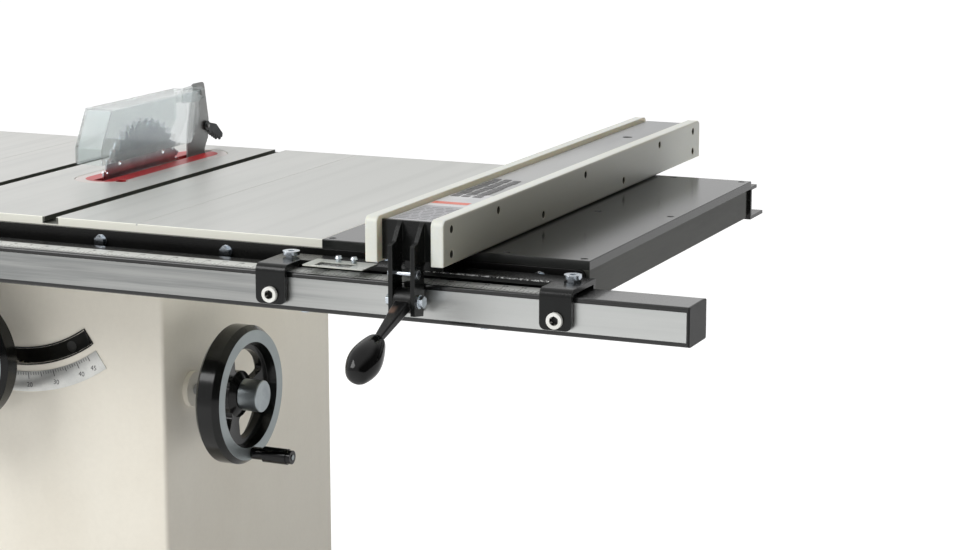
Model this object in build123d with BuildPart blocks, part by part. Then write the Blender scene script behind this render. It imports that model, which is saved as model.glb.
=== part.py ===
from build123d import *
import math
import os

# Cabinet table saw: cast-iron table and wings, a black extension table on the right, a square
# rail with a locking rip fence, and a left-tilting 254 mm blade driven by a motor in the cabinet.
# Frame: X to the operator's right, Y away from the operator, Z up, all in millimetres.
# Origin: on the floor, under the blade plane, at the middle of the table's depth.

os.makedirs("parts", exist_ok=True)

# Table and wings
TABLE_TOP = 864.0
HALF_DEPTH = 343.0
HALF_WIDTH = 254.0
CASTING_DEPTH = 45.0
SLAB = 14.0
RIM = 12.0
WING_WIDTH = 288.0
WING_CORNER = 9.0
EDGE_BREAK = 0.8
SLOT_X = 113.0
SLOT_WIDTH = 19.3
SLOT_DEPTH = 9.5
SLOT_FOOT_WIDTH = 24.0
SLOT_FOOT_HEIGHT = 2.6
SLOT_PAD = 44.0
SLOT_PAD_DEPTH = 18.0

# Table insert and its opening
INSERT_X = 7.0
INSERT_Y = 115.0
INSERT_LENGTH = 370.0
INSERT_WIDTH = 102.0
INSERT_THICK = 8.0
INSERT_GAP = 0.8
INSERT_LEDGE = 7.0
BLADE_SLOT_LOW_X = -3.5
BLADE_SLOT_HIGH_X = 14.0
BLADE_SLOT_LOW_Y = -46.0
BLADE_SLOT_HIGH_Y = 292.0
SPLITTER_GAP_LEFT = -60.0
SPLITTER_GAP_RIGHT = 105.0
SPLITTER_GAP_BOTTOM = 765.0

# Bolts that join the wings to the table
TABLE_BOLT_Z = 838.0
TABLE_BOLT_SPOTS = (-260.0, -87.0, 87.0, 260.0)

# Cabinet and base
SHEET = 3.0
CABINET_HALF_WIDTH = 252.0
CABINET_FRONT = -278.0
CABINET_REAR = 242.0
CABINET_BOTTOM = 70.0
CABINET_FLANGE = 26.0
BASE_INSET = 14.0
BASE_FOOT = 60.0
BOLT_DOWN_RADIUS = 6.5
BOLT_DOWN_X = 205.0
BOLT_DOWN_Y = 195.0
DUST_PORT_X = 110.0
DUST_PORT_Z = 160.0
DUST_PORT_RADIUS = 50.8
DUST_PORT_LENGTH = 50.0

# Extension table
EXTENSION_WIDTH = 384.0
EXTENSION_SLAB = 12.0
EXTENSION_FRAME_DEPTH = 41.0
EXTENSION_BOARD = 18.0
EXTENSION_REAR_STEP = 25.0
EXTENSION_SCREW_SPOTS = (552.0, 679.0, 805.0, 914.0)
EXTENSION_SCREW_DEPTHS = (-331.0, 4.0, 331.0)

# Front rail
RAIL_FRONT = -440.2
RAIL_DEPTH = 63.5
RAIL_HEIGHT = 50.8
RAIL_TOP = 836.7
RAIL_WALL = 3.2
RAIL_CORNER = 3.0
RAIL_LEFT = -365.0
RAIL_RIGHT = 1094.8
CAP_THICK = 2.5
ANGLE_THICK = 6.0
ANGLE_TOP = 852.5
ANGLE_REACH = 62.0
ANGLE_RIGHT = 921.0
STRIP_HEIGHT = 38.0
STRIP_THICK = 1.0
STRIP_MARGIN = 4.0
RAIL_BOLT_Z = 837.0
RAIL_BOLT_SPOTS = (-300.0, -200.0, 0.0, 200.0, 399.0, 640.0, 860.0)
TUBE_BOLT_SPOTS = (-200.0, 20.0, 540.0, 800.0)
TUBE_BOLT_Y = -388.0
REAR_BOLT_SPOTS = (-480.0, -200.0, 0.0, 200.0, 480.0, 640.0, 860.0)

# Rear rail
REAR_RAIL_THICK = 5.0
REAR_RAIL_TOP = 855.0
REAR_RAIL_BOTTOM = 804.5
REAR_RAIL_UPPER_REACH = 372.0
REAR_RAIL_LOWER_REACH = 405.0

# Fence
FENCE_X = 721.0
BOARD_THICK = 17.6
BOARD_GAP = 75.1
BOARD_TOP = 925.0
BOARD_BOTTOM = 865.5
BOARD_FRONT = -465.0
BOARD_REAR = 540.0
TUBE_TOP = 919.0
TUBE_BOTTOM = 871.0
TUBE_WALL = 3.0
CARRIAGE_LEFT = 499.0
CARRIAGE_RIGHT = 943.4
TAB_WIDTH = 43.2
CARRIAGE_TOP = 847.4
CARRIAGE_THICK = 6.5
CARRIAGE_EDGE = -406.0
CARRIAGE_BACK = -367.7
TAB_FRONT = -451.0
TAB_BOTTOM = 795.0
ADJUSTER_Z = 808.0
LEVELLER_Y = -391.0
LEVELLER_HEAD_LOW = 850.0
LEVELLER_HEAD_HIGH = 855.4
CURSOR_SCREW_SPOTS = (596.5, 619.0)
CURSOR_SCREW_Y = -402.0
CURSOR_THICK = 1.4
BRACKET_FRONT = -482.0
PIVOT_Y = -469.0
PIVOT_Z = 820.0
CHEEK_THICK = 6.0
CHEEK_GAP = 25.0
CHEEK_MIDDLE = 725.0
PIN_Y = -473.0
PIN_Z = 856.0

# Blade and arbor, at full height
BLADE_RADIUS = 127.0
BLADE_Y = 89.0
BLADE_Z = 816.0
BLADE_PLATE = 2.4
BLADE_KERF = 3.2
BLADE_TEETH = 40
ARBOR_RADIUS = 7.9375
ARM_MIDDLE_X = -57.0
ARM_THICK = 26.0
ARM_PIVOT_Y = -100.0
ARM_PIVOT_Z = 774.0
ARM_PIVOT_RADIUS = 10.0
ARBOR_HOUSING_RADIUS = 29.0
BEARING_OUTER = 24.0
BEARING_INNER = 12.5
BEARING_WIDTH = 14.0
RUNNING_GAP = 0.05

# Motor and belts
MOTOR_Y = 60.0
MOTOR_Z = 620.0
MOTOR_RADIUS = 78.0
MOTOR_LEFT = -345.0
MOTOR_RIGHT = -148.0
MOUNT_THICK = 10.0
MOTOR_SHAFT_RADIUS = 11.0
PULLEY_LEFT = -131.0
PULLEY_RIGHT = -101.0
ARBOR_PULLEY_RADIUS = 28.0
MOTOR_PULLEY_RADIUS = 34.2
GROOVE_DEPTH = 7.0
BELT_COUNT = 3
BELT_WIDTH = 7.0
BELT_PITCH = 9.5

# Tilt: sector teeth on the front trunnion, driven by a worm below it
TILT_SHAFT_Y = -202.0
TILT_SHAFT_Z = 596.5
TILT_TEETH_PER_TURN = 180
TILT_SWEEP = 45.0
TILT_WHEEL_X = 351.5

# Height: sector teeth on the arbor arm, driven by a worm on the front shaft
HEIGHT_SHAFT_RADIUS_FROM_TILT = 225.0
HEIGHT_TEETH_PER_TURN = 90
HEIGHT_SECTOR_PITCH = 115.7
HEIGHT_WHEEL_Y = -369.0

WORM_CORE = 9.0
WORM_RADIUS = 14.0
WORM_TURNS = 6
THREAD_ROOT = 3.4
THREAD_CREST = 1.8
MESH_GAP = 0.8
SHAFT_RADIUS = 8.0

TRUNNION_THICK = 18.0
TRUNNION_INNER = 95.0
TRUNNION_LEFT_ANGLE = -70.0
TRUNNION_RIGHT_ANGLE = 22.0
FRONT_TRUNNION_Y = -211.0
REAR_TRUNNION_Y = 203.0
TONGUE_INNER = 118.0
TONGUE_OUTER = 132.0
TONGUE_DEPTH = 10.0
BRACKET_INNER = 104.0
BRACKET_OUTER = 150.0
BRACKET_THICK = 14.0

# Handwheels
WHEEL_RADIUS = 101.0
WHEEL_FACE_OUTER = 94.5
WHEEL_FACE_INNER = 77.0
WHEEL_BEVEL = 9.0
WHEEL_RIM_DEPTH = 32.0
WHEEL_WEB_INNER = 34.0
WHEEL_WEB_OUTER = 66.0
WHEEL_GAP_ANGLE = 66.0
WHEEL_GAP_SPAN = 88.0
LOCK_DISC_RADIUS = 23.0
WHEEL_DEPTH = 38.0
WHEEL_HUB_RADIUS = 22.0
CRANK_RADIUS = 86.0

# Worked out from the sizes above
SLAB_BOTTOM = TABLE_TOP - SLAB
RIM_BOTTOM = TABLE_TOP - CASTING_DEPTH
WING_LEFT_OUT = -HALF_WIDTH - WING_WIDTH
WING_RIGHT_OUT = HALF_WIDTH + WING_WIDTH
EXTENSION_RIGHT = WING_RIGHT_OUT + EXTENSION_WIDTH
RAIL_REAR = RAIL_FRONT + RAIL_DEPTH
RAIL_BOTTOM = RAIL_TOP - RAIL_HEIGHT
ANGLE_BOTTOM = RAIL_BOTTOM - ANGLE_THICK
LEG_FRONT = -HALF_DEPTH - ANGLE_THICK
CARRIAGE_BOTTOM = CARRIAGE_TOP - CARRIAGE_THICK
TAB_BACK = TAB_FRONT + CARRIAGE_THICK
TAB_CENTRES = (CARRIAGE_LEFT + TAB_WIDTH / 2, CARRIAGE_RIGHT - TAB_WIDTH / 2)
BOARD_INNER_LEFT = FENCE_X - BOARD_GAP / 2
BOARD_INNER_RIGHT = FENCE_X + BOARD_GAP / 2
TILT_PITCH = math.radians(360 / TILT_TEETH_PER_TURN) * (TABLE_TOP - TILT_SHAFT_Z - 11.5)
TILT_ROOT = TABLE_TOP - TILT_SHAFT_Z - WORM_RADIUS - MESH_GAP
TILT_TIP = TABLE_TOP - TILT_SHAFT_Z - WORM_CORE - MESH_GAP
HEIGHT_SHAFT_X = ARM_MIDDLE_X
HEIGHT_SHAFT_DROP = math.sqrt(HEIGHT_SHAFT_RADIUS_FROM_TILT**2 - HEIGHT_SHAFT_X**2)
HEIGHT_SHAFT_Z = TABLE_TOP - HEIGHT_SHAFT_DROP
HEIGHT_PITCH = math.radians(360 / HEIGHT_TEETH_PER_TURN) * HEIGHT_SECTOR_PITCH
HEIGHT_REACH = ARM_PIVOT_Z - HEIGHT_SHAFT_Z
HEIGHT_ROOT = HEIGHT_REACH - WORM_RADIUS - MESH_GAP
HEIGHT_TIP = HEIGHT_REACH - WORM_CORE - MESH_GAP
MOUNT_LEFT = MOTOR_RIGHT
MOUNT_RIGHT = MOTOR_RIGHT + MOUNT_THICK


def block(low, high, mode=Mode.ADD):
    """Add or cut a box between two opposite corners."""
    middle = [(a + b) / 2 for a, b in zip(low, high)]
    with Locations(Location(tuple(middle))):
        Box(high[0] - low[0], high[1] - low[1], high[2] - low[2], mode=mode)


def rod(start, finish, radius, mode=Mode.ADD):
    """Add or cut a round bar between the centres of its two ends."""
    along = Vector(*finish) - Vector(*start)
    with Locations(Plane(origin=start, z_dir=along)):
        Cylinder(radius, along.length, align=(Align.CENTER, Align.CENTER, Align.MIN), mode=mode)


def hexagon_rod(start, finish, across_flats, mode=Mode.ADD):
    """Add or cut a hexagonal bar between the centres of its two ends."""
    along = Vector(*finish) - Vector(*start)
    with BuildSketch(Plane(origin=start, z_dir=along)) as outline:
        RegularPolygon(across_flats / 2, 6, major_radius=False)
    extrude(outline.sketch, amount=along.length, mode=mode)


def prism(plane, points, depth, mode=Mode.ADD, corner=0.0):
    """Extrude a closed outline from its plane, with its corners rounded if a radius is given."""
    with BuildSketch(plane) as outline:
        with BuildLine():
            Polyline(*points, close=True)
        make_face()
        if corner:
            fillet(outline.vertices(), corner)
    extrude(outline.sketch, amount=depth, mode=mode)


def at_depth(y):
    """A plane facing the operator at depth y, with X to the right and Z up."""
    return Plane.XZ.offset(-y)


def at_side(x):
    """A plane facing the operator's right at x, with Y to its right and Z up."""
    return Plane.YZ.offset(x)


def ring_sector(plane, centre, inner, outer, low_angle, high_angle, depth, mode=Mode.ADD):
    """Extrude part of a ring. Angles are from straight down, positive towards the plane's right."""
    with BuildSketch(plane) as outline:
        with BuildLine():
            outer_arc = CenterArc(centre, outer, low_angle - 90, high_angle - low_angle)
            inner_arc = CenterArc(centre, inner, low_angle - 90, high_angle - low_angle)
            Line(outer_arc @ 0, inner_arc @ 0)
            Line(outer_arc @ 1, inner_arc @ 1)
        make_face()
    extrude(outline.sketch, amount=depth, mode=mode)


def sector_teeth(plane, centre, root, tip, pitch_angle, low_angle, high_angle, depth):
    """Add straight teeth to a sector's outer edge, with a gap straight down."""
    root_half = math.radians(pitch_angle) * 0.25
    tip_half = math.radians(pitch_angle) * 0.11
    for number in range(round((high_angle - low_angle) / pitch_angle) + 1):
        angle = math.radians(low_angle + number * pitch_angle)
        corners = []
        for radius, turn in (
            (root - 2, -root_half),
            (root, -root_half),
            (tip, -tip_half),
            (tip, tip_half),
            (root, root_half),
            (root - 2, root_half),
        ):
            across = centre[0] + radius * math.sin(angle + turn)
            up = centre[1] - radius * math.cos(angle + turn)
            corners.append((across, up))
        prism(plane, corners, depth)


def worm_thread(plane, lead, lefthand):
    """A helical thread along the plane's normal, crossing the plane's X axis at its origin."""
    length = lead * WORM_TURNS
    with BuildPart() as thread:
        with BuildLine() as path:
            Helix(
                pitch=lead,
                height=length,
                radius=WORM_CORE,
                center=(0, 0, -length / 2),
                lefthand=lefthand,
            )
        across = Plane(origin=path.line @ 0, z_dir=path.line % 0, x_dir=(1, 0, 0))
        with BuildSketch(across):
            Polygon(
                (-1.0, -THREAD_ROOT / 2),
                (-1.0, THREAD_ROOT / 2),
                (WORM_RADIUS - WORM_CORE, THREAD_CREST / 2),
                (WORM_RADIUS - WORM_CORE, -THREAD_CREST / 2),
                align=None,
            )
        sweep(path=path.line, is_frenet=True)
    return thread.part.moved(plane.location)


def casting(left, right):
    """Add a ribbed cast-iron table section between two X positions."""
    block((left, -HALF_DEPTH, RIM_BOTTOM), (right, HALF_DEPTH, TABLE_TOP))
    block(
        (left + RIM, -HALF_DEPTH + RIM, RIM_BOTTOM),
        (right - RIM, HALF_DEPTH - RIM, SLAB_BOTTOM),
        Mode.SUBTRACT,
    )


def handwheel(plane):
    """Add a dished handwheel: the plane is its front face, with its normal towards the hand."""
    with BuildSketch(Plane(origin=plane.origin, x_dir=plane.x_dir, z_dir=plane.y_dir * -1)) as half:
        with BuildLine():
            Polyline(
                (WHEEL_FACE_INNER, 0),
                (WHEEL_FACE_OUTER, 0),
                (WHEEL_RADIUS, -WHEEL_BEVEL),
                (WHEEL_RADIUS, -WHEEL_RIM_DEPTH),
                (WHEEL_FACE_OUTER, -WHEEL_RIM_DEPTH - 6),
                (WHEEL_FACE_INNER + 5, -WHEEL_RIM_DEPTH - 6),
                (WHEEL_FACE_INNER - 5, -24),
                (WHEEL_WEB_INNER, -30),
                (WHEEL_HUB_RADIUS, -WHEEL_DEPTH - 14),
                (SHAFT_RADIUS, -WHEEL_DEPTH - 14),
                (SHAFT_RADIUS, -12),
                (WHEEL_HUB_RADIUS, -12),
                (WHEEL_WEB_INNER, -19),
                (WHEEL_FACE_INNER - 4, -13),
                close=True,
            )
        make_face()
    turn_axis = Axis(plane.origin, plane.z_dir)
    revolve(half.sketch, axis=turn_axis)
    for spoke in range(3):
        with BuildSketch(Plane(origin=plane.origin, x_dir=plane.x_dir, z_dir=plane.z_dir)) as gap:
            with BuildLine():
                start = WHEEL_GAP_ANGLE + 120 * spoke - WHEEL_GAP_SPAN / 2
                far = CenterArc((0, 0), WHEEL_WEB_OUTER, start, WHEEL_GAP_SPAN)
                near = CenterArc((0, 0), WHEEL_WEB_INNER, start, WHEEL_GAP_SPAN)
                Line(far @ 0, near @ 0)
                Line(far @ 1, near @ 1)
            make_face()
            fillet(gap.vertices(), 9)
        extrude(gap.sketch, amount=-60, mode=Mode.SUBTRACT)


# ---------------------------------------------------------------- table, wings and insert

with BuildPart() as main_table:
    casting(-HALF_WIDTH, HALF_WIDTH)
    top_face = main_table.faces().sort_by(Axis.Z)[-1]
    chamfer(top_face.edges(), EDGE_BREAK)
    for rib_y in (CABINET_FRONT, CABINET_REAR - 4):
        block((-HALF_WIDTH + RIM, rib_y, RIM_BOTTOM), (HALF_WIDTH - RIM, rib_y + RIM, SLAB_BOTTOM))
    block(
        (SPLITTER_GAP_LEFT, CABINET_REAR - 4, RIM_BOTTOM),
        (SPLITTER_GAP_RIGHT, CABINET_REAR - 4 + RIM, SLAB_BOTTOM),
        Mode.SUBTRACT,
    )
    for side in (-1, 1):
        slot_x = side * SLOT_X
        block(
            (slot_x - SLOT_PAD / 2, -HALF_DEPTH, TABLE_TOP - SLOT_PAD_DEPTH),
            (slot_x + SLOT_PAD / 2, HALF_DEPTH, SLAB_BOTTOM),
        )
        block(
            (slot_x - SLOT_WIDTH / 2, -HALF_DEPTH, TABLE_TOP - SLOT_DEPTH),
            (slot_x + SLOT_WIDTH / 2, HALF_DEPTH, TABLE_TOP),
            Mode.SUBTRACT,
        )
        block(
            (slot_x - SLOT_FOOT_WIDTH / 2, -HALF_DEPTH, TABLE_TOP - SLOT_DEPTH),
            (slot_x + SLOT_FOOT_WIDTH / 2, HALF_DEPTH, TABLE_TOP - SLOT_DEPTH + SLOT_FOOT_HEIGHT),
            Mode.SUBTRACT,
        )
    with BuildSketch(Plane(origin=(INSERT_X, INSERT_Y, TABLE_TOP))) as recess:
        SlotOverall(INSERT_LENGTH + 2 * INSERT_GAP, INSERT_WIDTH + 2 * INSERT_GAP, rotation=90)
    extrude(recess.sketch, amount=-INSERT_THICK - 0.2, mode=Mode.SUBTRACT)
    with BuildSketch(Plane(origin=(INSERT_X, INSERT_Y, TABLE_TOP))) as opening:
        SlotOverall(
            INSERT_LENGTH - 2 * INSERT_LEDGE, INSERT_WIDTH - 2 * INSERT_LEDGE, rotation=90
        )
    extrude(opening.sketch, amount=-CASTING_DEPTH, mode=Mode.SUBTRACT)
    for bolt_x in RAIL_BOLT_SPOTS[1:4]:
        rod(
            (bolt_x, -HALF_DEPTH, RAIL_BOLT_Z),
            (bolt_x, -HALF_DEPTH + RIM, RAIL_BOLT_Z),
            4.05,
            Mode.SUBTRACT,
        )
    for side in (-1, 1):
        for bolt_y in TABLE_BOLT_SPOTS:
            rod(
                (side * (HALF_WIDTH - RIM), bolt_y, TABLE_BOLT_Z),
                (side * HALF_WIDTH, bolt_y, TABLE_BOLT_Z),
                5.05,
                Mode.SUBTRACT,
            )
main_table.part.label = "main_table"
export_step(main_table.part, "parts/main_table.step")

with BuildPart() as right_wing:
    casting(HALF_WIDTH, WING_RIGHT_OUT)
    top_face = right_wing.faces().sort_by(Axis.Z)[-1]
    chamfer(top_face.edges(), EDGE_BREAK)
    for rib in (1, 2, 3):
        rib_y = -HALF_DEPTH + rib * HALF_DEPTH / 2
        block((HALF_WIDTH + RIM, rib_y - 4, RIM_BOTTOM + 8), (WING_RIGHT_OUT - RIM, rib_y + 4, SLAB_BOTTOM))
    rod(
        (RAIL_BOLT_SPOTS[4], -HALF_DEPTH, RAIL_BOLT_Z),
        (RAIL_BOLT_SPOTS[4], -HALF_DEPTH + RIM, RAIL_BOLT_Z),
        4.05,
        Mode.SUBTRACT,
    )
    for bolt_y in TABLE_BOLT_SPOTS:
        rod(
            (HALF_WIDTH, bolt_y, TABLE_BOLT_Z),
            (HALF_WIDTH + RIM, bolt_y, TABLE_BOLT_Z),
            5.4,
            Mode.SUBTRACT,
        )
right_wing.part.label = "right_wing"
export_step(right_wing.part, "parts/right_wing.step")

with BuildPart() as left_wing:
    casting(WING_LEFT_OUT, -HALF_WIDTH)
    outer_corners = left_wing.edges().filter_by(Axis.Z).group_by(Axis.X)[0]
    fillet(outer_corners, WING_CORNER)
    top_face = left_wing.faces().sort_by(Axis.Z)[-1]
    chamfer(top_face.edges(), EDGE_BREAK)
    for rib in (1, 2, 3):
        rib_y = -HALF_DEPTH + rib * HALF_DEPTH / 2
        block((WING_LEFT_OUT + RIM, rib_y - 4, RIM_BOTTOM + 8), (-HALF_WIDTH - RIM, rib_y + 4, SLAB_BOTTOM))
    rod(
        (RAIL_BOLT_SPOTS[0], -HALF_DEPTH, RAIL_BOLT_Z),
        (RAIL_BOLT_SPOTS[0], -HALF_DEPTH + RIM, RAIL_BOLT_Z),
        4.05,
        Mode.SUBTRACT,
    )
    for bolt_y in TABLE_BOLT_SPOTS:
        rod(
            (-HALF_WIDTH - RIM, bolt_y, TABLE_BOLT_Z),
            (-HALF_WIDTH, bolt_y, TABLE_BOLT_Z),
            5.4,
            Mode.SUBTRACT,
        )
left_wing.part.label = "left_wing"
export_step(left_wing.part, "parts/left_wing.step")

with BuildPart() as table_insert:
    with BuildSketch(Plane(origin=(INSERT_X, INSERT_Y, TABLE_TOP - INSERT_THICK))):
        SlotOverall(INSERT_LENGTH, INSERT_WIDTH, rotation=90)
    extrude(amount=INSERT_THICK - 0.2)
    chamfer(table_insert.faces().sort_by(Axis.Z)[-1].edges(), 0.6)
    block(
        (BLADE_SLOT_LOW_X, BLADE_SLOT_LOW_Y, TABLE_TOP - INSERT_THICK),
        (BLADE_SLOT_HIGH_X, BLADE_SLOT_HIGH_Y, TABLE_TOP),
        Mode.SUBTRACT,
    )
    rod(
        (INSERT_X + 34, INSERT_Y - 150, TABLE_TOP - INSERT_THICK),
        (INSERT_X + 34, INSERT_Y - 150, TABLE_TOP),
        10,
        Mode.SUBTRACT,
    )
table_insert.part.label = "table_insert"
export_step(table_insert.part, "parts/table_insert.step")

# ---------------------------------------------------------------- extension table and rails

with BuildPart() as extension_top:
    block(
        (WING_RIGHT_OUT, -HALF_DEPTH, TABLE_TOP - EXTENSION_SLAB),
        (EXTENSION_RIGHT, HALF_DEPTH, TABLE_TOP),
    )
    chamfer(extension_top.faces().sort_by(Axis.Z)[-1].edges(), EDGE_BREAK)
    for screw_x in EXTENSION_SCREW_SPOTS:
        for screw_y in EXTENSION_SCREW_DEPTHS:
            with Locations(Plane(origin=(screw_x, screw_y, TABLE_TOP))):
                CounterSinkHole(2.6, 5.2)
extension_top.part.label = "extension_top"
export_step(extension_top.part, "parts/extension_top.step")

with BuildPart() as extension_frame:
    frame_low = TABLE_TOP - EXTENSION_SLAB - EXTENSION_FRAME_DEPTH
    frame_high = TABLE_TOP - EXTENSION_SLAB
    block((WING_RIGHT_OUT, -HALF_DEPTH, frame_low), (EXTENSION_RIGHT, HALF_DEPTH, frame_high))
    block(
        (WING_RIGHT_OUT + EXTENSION_BOARD, -HALF_DEPTH + EXTENSION_BOARD, frame_low),
        (EXTENSION_RIGHT - EXTENSION_BOARD, HALF_DEPTH - EXTENSION_BOARD, frame_high),
        Mode.SUBTRACT,
    )
    block(
        (EXTENSION_RIGHT - EXTENSION_BOARD / 3, HALF_DEPTH - EXTENSION_REAR_STEP, frame_low),
        (EXTENSION_RIGHT, HALF_DEPTH, frame_high),
        Mode.SUBTRACT,
    )
    block(
        (WING_RIGHT_OUT + EXTENSION_BOARD, -5, frame_low),
        (EXTENSION_RIGHT - EXTENSION_BOARD, 13, frame_high),
    )
    block(
        (670, -HALF_DEPTH + EXTENSION_BOARD, frame_low),
        (688, HALF_DEPTH - EXTENSION_BOARD, frame_high),
    )
    for screw_x in EXTENSION_SCREW_SPOTS:
        for screw_y in EXTENSION_SCREW_DEPTHS:
            rod((screw_x, screw_y, frame_high - 20), (screw_x, screw_y, frame_high), 2.3, Mode.SUBTRACT)
    for bolt_x in RAIL_BOLT_SPOTS[5:]:
        rod(
            (bolt_x, -HALF_DEPTH, RAIL_BOLT_Z),
            (bolt_x, -HALF_DEPTH + RIM, RAIL_BOLT_Z),
            4.05,
            Mode.SUBTRACT,
        )
extension_frame.part.label = "extension_frame"
export_step(extension_frame.part, "parts/extension_frame.step")

with BuildPart() as extension_screws:
    for screw_x in EXTENSION_SCREW_SPOTS:
        for screw_y in EXTENSION_SCREW_DEPTHS:
            rod((screw_x, screw_y, frame_high - 16), (screw_x, screw_y, TABLE_TOP - 2), 2.2)
            with Locations((screw_x, screw_y, TABLE_TOP - 1.9)):
                Cone(2.0, 4.2, 2.4, align=(Align.CENTER, Align.CENTER, Align.CENTER))
extension_screws.part.label = "extension_screws"
export_step(extension_screws.part, "parts/extension_screws.step")

with BuildPart() as front_rail_angle:
    block((RAIL_LEFT, LEG_FRONT, ANGLE_BOTTOM), (ANGLE_RIGHT, -HALF_DEPTH, ANGLE_TOP))
    block((RAIL_LEFT, -HALF_DEPTH - ANGLE_REACH, ANGLE_BOTTOM), (ANGLE_RIGHT, -HALF_DEPTH, RAIL_BOTTOM))
    outer_corner = (
        front_rail_angle.edges().filter_by(Axis.Y).group_by(Axis.X)[-1].sort_by(Axis.Z)[-1]
    )
    fillet(outer_corner, 8)
    for bolt_x in RAIL_BOLT_SPOTS:
        rod(
            (bolt_x, LEG_FRONT, RAIL_BOLT_Z), (bolt_x, -HALF_DEPTH, RAIL_BOLT_Z), 4.6, Mode.SUBTRACT
        )
    for bolt_x in TUBE_BOLT_SPOTS:
        rod((bolt_x, TUBE_BOLT_Y, ANGLE_BOTTOM), (bolt_x, TUBE_BOLT_Y, RAIL_BOTTOM), 4.6, Mode.SUBTRACT)
front_rail_angle.part.label = "front_rail_angle"
export_step(front_rail_angle.part, "parts/front_rail_angle.step")

with BuildPart() as rail_tube:
    rail_middle = (RAIL_FRONT + RAIL_REAR) / 2
    with BuildSketch(Plane.YZ.offset(RAIL_LEFT + CAP_THICK)):
        with Locations((rail_middle, RAIL_TOP - RAIL_HEIGHT / 2)):
            RectangleRounded(RAIL_DEPTH, RAIL_HEIGHT, RAIL_CORNER)
            RectangleRounded(
                RAIL_DEPTH - 2 * RAIL_WALL,
                RAIL_HEIGHT - 2 * RAIL_WALL,
                RAIL_CORNER / 2,
                mode=Mode.SUBTRACT,
            )
    extrude(amount=RAIL_RIGHT - RAIL_LEFT - 2 * CAP_THICK)
    for bolt_x in TUBE_BOLT_SPOTS:
        rod(
            (bolt_x, TUBE_BOLT_Y, RAIL_BOTTOM),
            (bolt_x, TUBE_BOLT_Y, RAIL_BOTTOM + RAIL_WALL),
            4.05,
            Mode.SUBTRACT,
        )
rail_tube.part.label = "rail_tube"
export_step(rail_tube.part, "parts/rail_tube.step")

with BuildPart() as rail_end_caps:
    for cap_x, inward in ((RAIL_LEFT, 1), (RAIL_RIGHT, -1)):
        with BuildSketch(Plane.YZ.offset(cap_x)) as cap_face:
            with Locations((rail_middle, RAIL_TOP - RAIL_HEIGHT / 2)):
                RectangleRounded(RAIL_DEPTH, RAIL_HEIGHT, RAIL_CORNER)
        extrude(cap_face.sketch, amount=inward * CAP_THICK)
        with BuildSketch(Plane.YZ.offset(cap_x + inward * CAP_THICK)) as plug_face:
            with Locations((rail_middle, RAIL_TOP - RAIL_HEIGHT / 2)):
                RectangleRounded(
                    RAIL_DEPTH - 2 * RAIL_WALL - 0.4, RAIL_HEIGHT - 2 * RAIL_WALL - 0.4, 1.5
                )
        extrude(plug_face.sketch, amount=inward * 14)
rail_end_caps.part.label = "rail_end_caps"
export_step(rail_end_caps.part, "parts/rail_end_caps.step")

with BuildPart() as rail_wear_strip:
    strip_middle = RAIL_TOP - RAIL_HEIGHT / 2
    block(
        (RAIL_LEFT + STRIP_MARGIN, RAIL_FRONT - STRIP_THICK, strip_middle - STRIP_HEIGHT / 2),
        (RAIL_RIGHT - STRIP_MARGIN, RAIL_FRONT, strip_middle + STRIP_HEIGHT / 2),
    )
rail_wear_strip.part.label = "rail_wear_strip"
export_step(rail_wear_strip.part, "parts/rail_wear_strip.step")

with BuildPart() as scale_tape:
    block((-40, -436, RAIL_TOP), (908, -404, RAIL_TOP + 0.4))
scale_tape.part.label = "scale_tape"
export_step(scale_tape.part, "parts/scale_tape.step")

with BuildPart() as rear_rail:
    block(
        (WING_LEFT_OUT, HALF_DEPTH, REAR_RAIL_BOTTOM),
        (EXTENSION_RIGHT, HALF_DEPTH + REAR_RAIL_THICK, REAR_RAIL_TOP),
    )
    block(
        (WING_LEFT_OUT, HALF_DEPTH, REAR_RAIL_TOP - REAR_RAIL_THICK),
        (EXTENSION_RIGHT, REAR_RAIL_UPPER_REACH, REAR_RAIL_TOP),
    )
    block(
        (WING_LEFT_OUT, HALF_DEPTH, REAR_RAIL_BOTTOM),
        (EXTENSION_RIGHT, REAR_RAIL_LOWER_REACH, REAR_RAIL_BOTTOM + REAR_RAIL_THICK),
    )
rear_rail.part.label = "rear_rail"
export_step(rear_rail.part, "parts/rear_rail.step")

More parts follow.
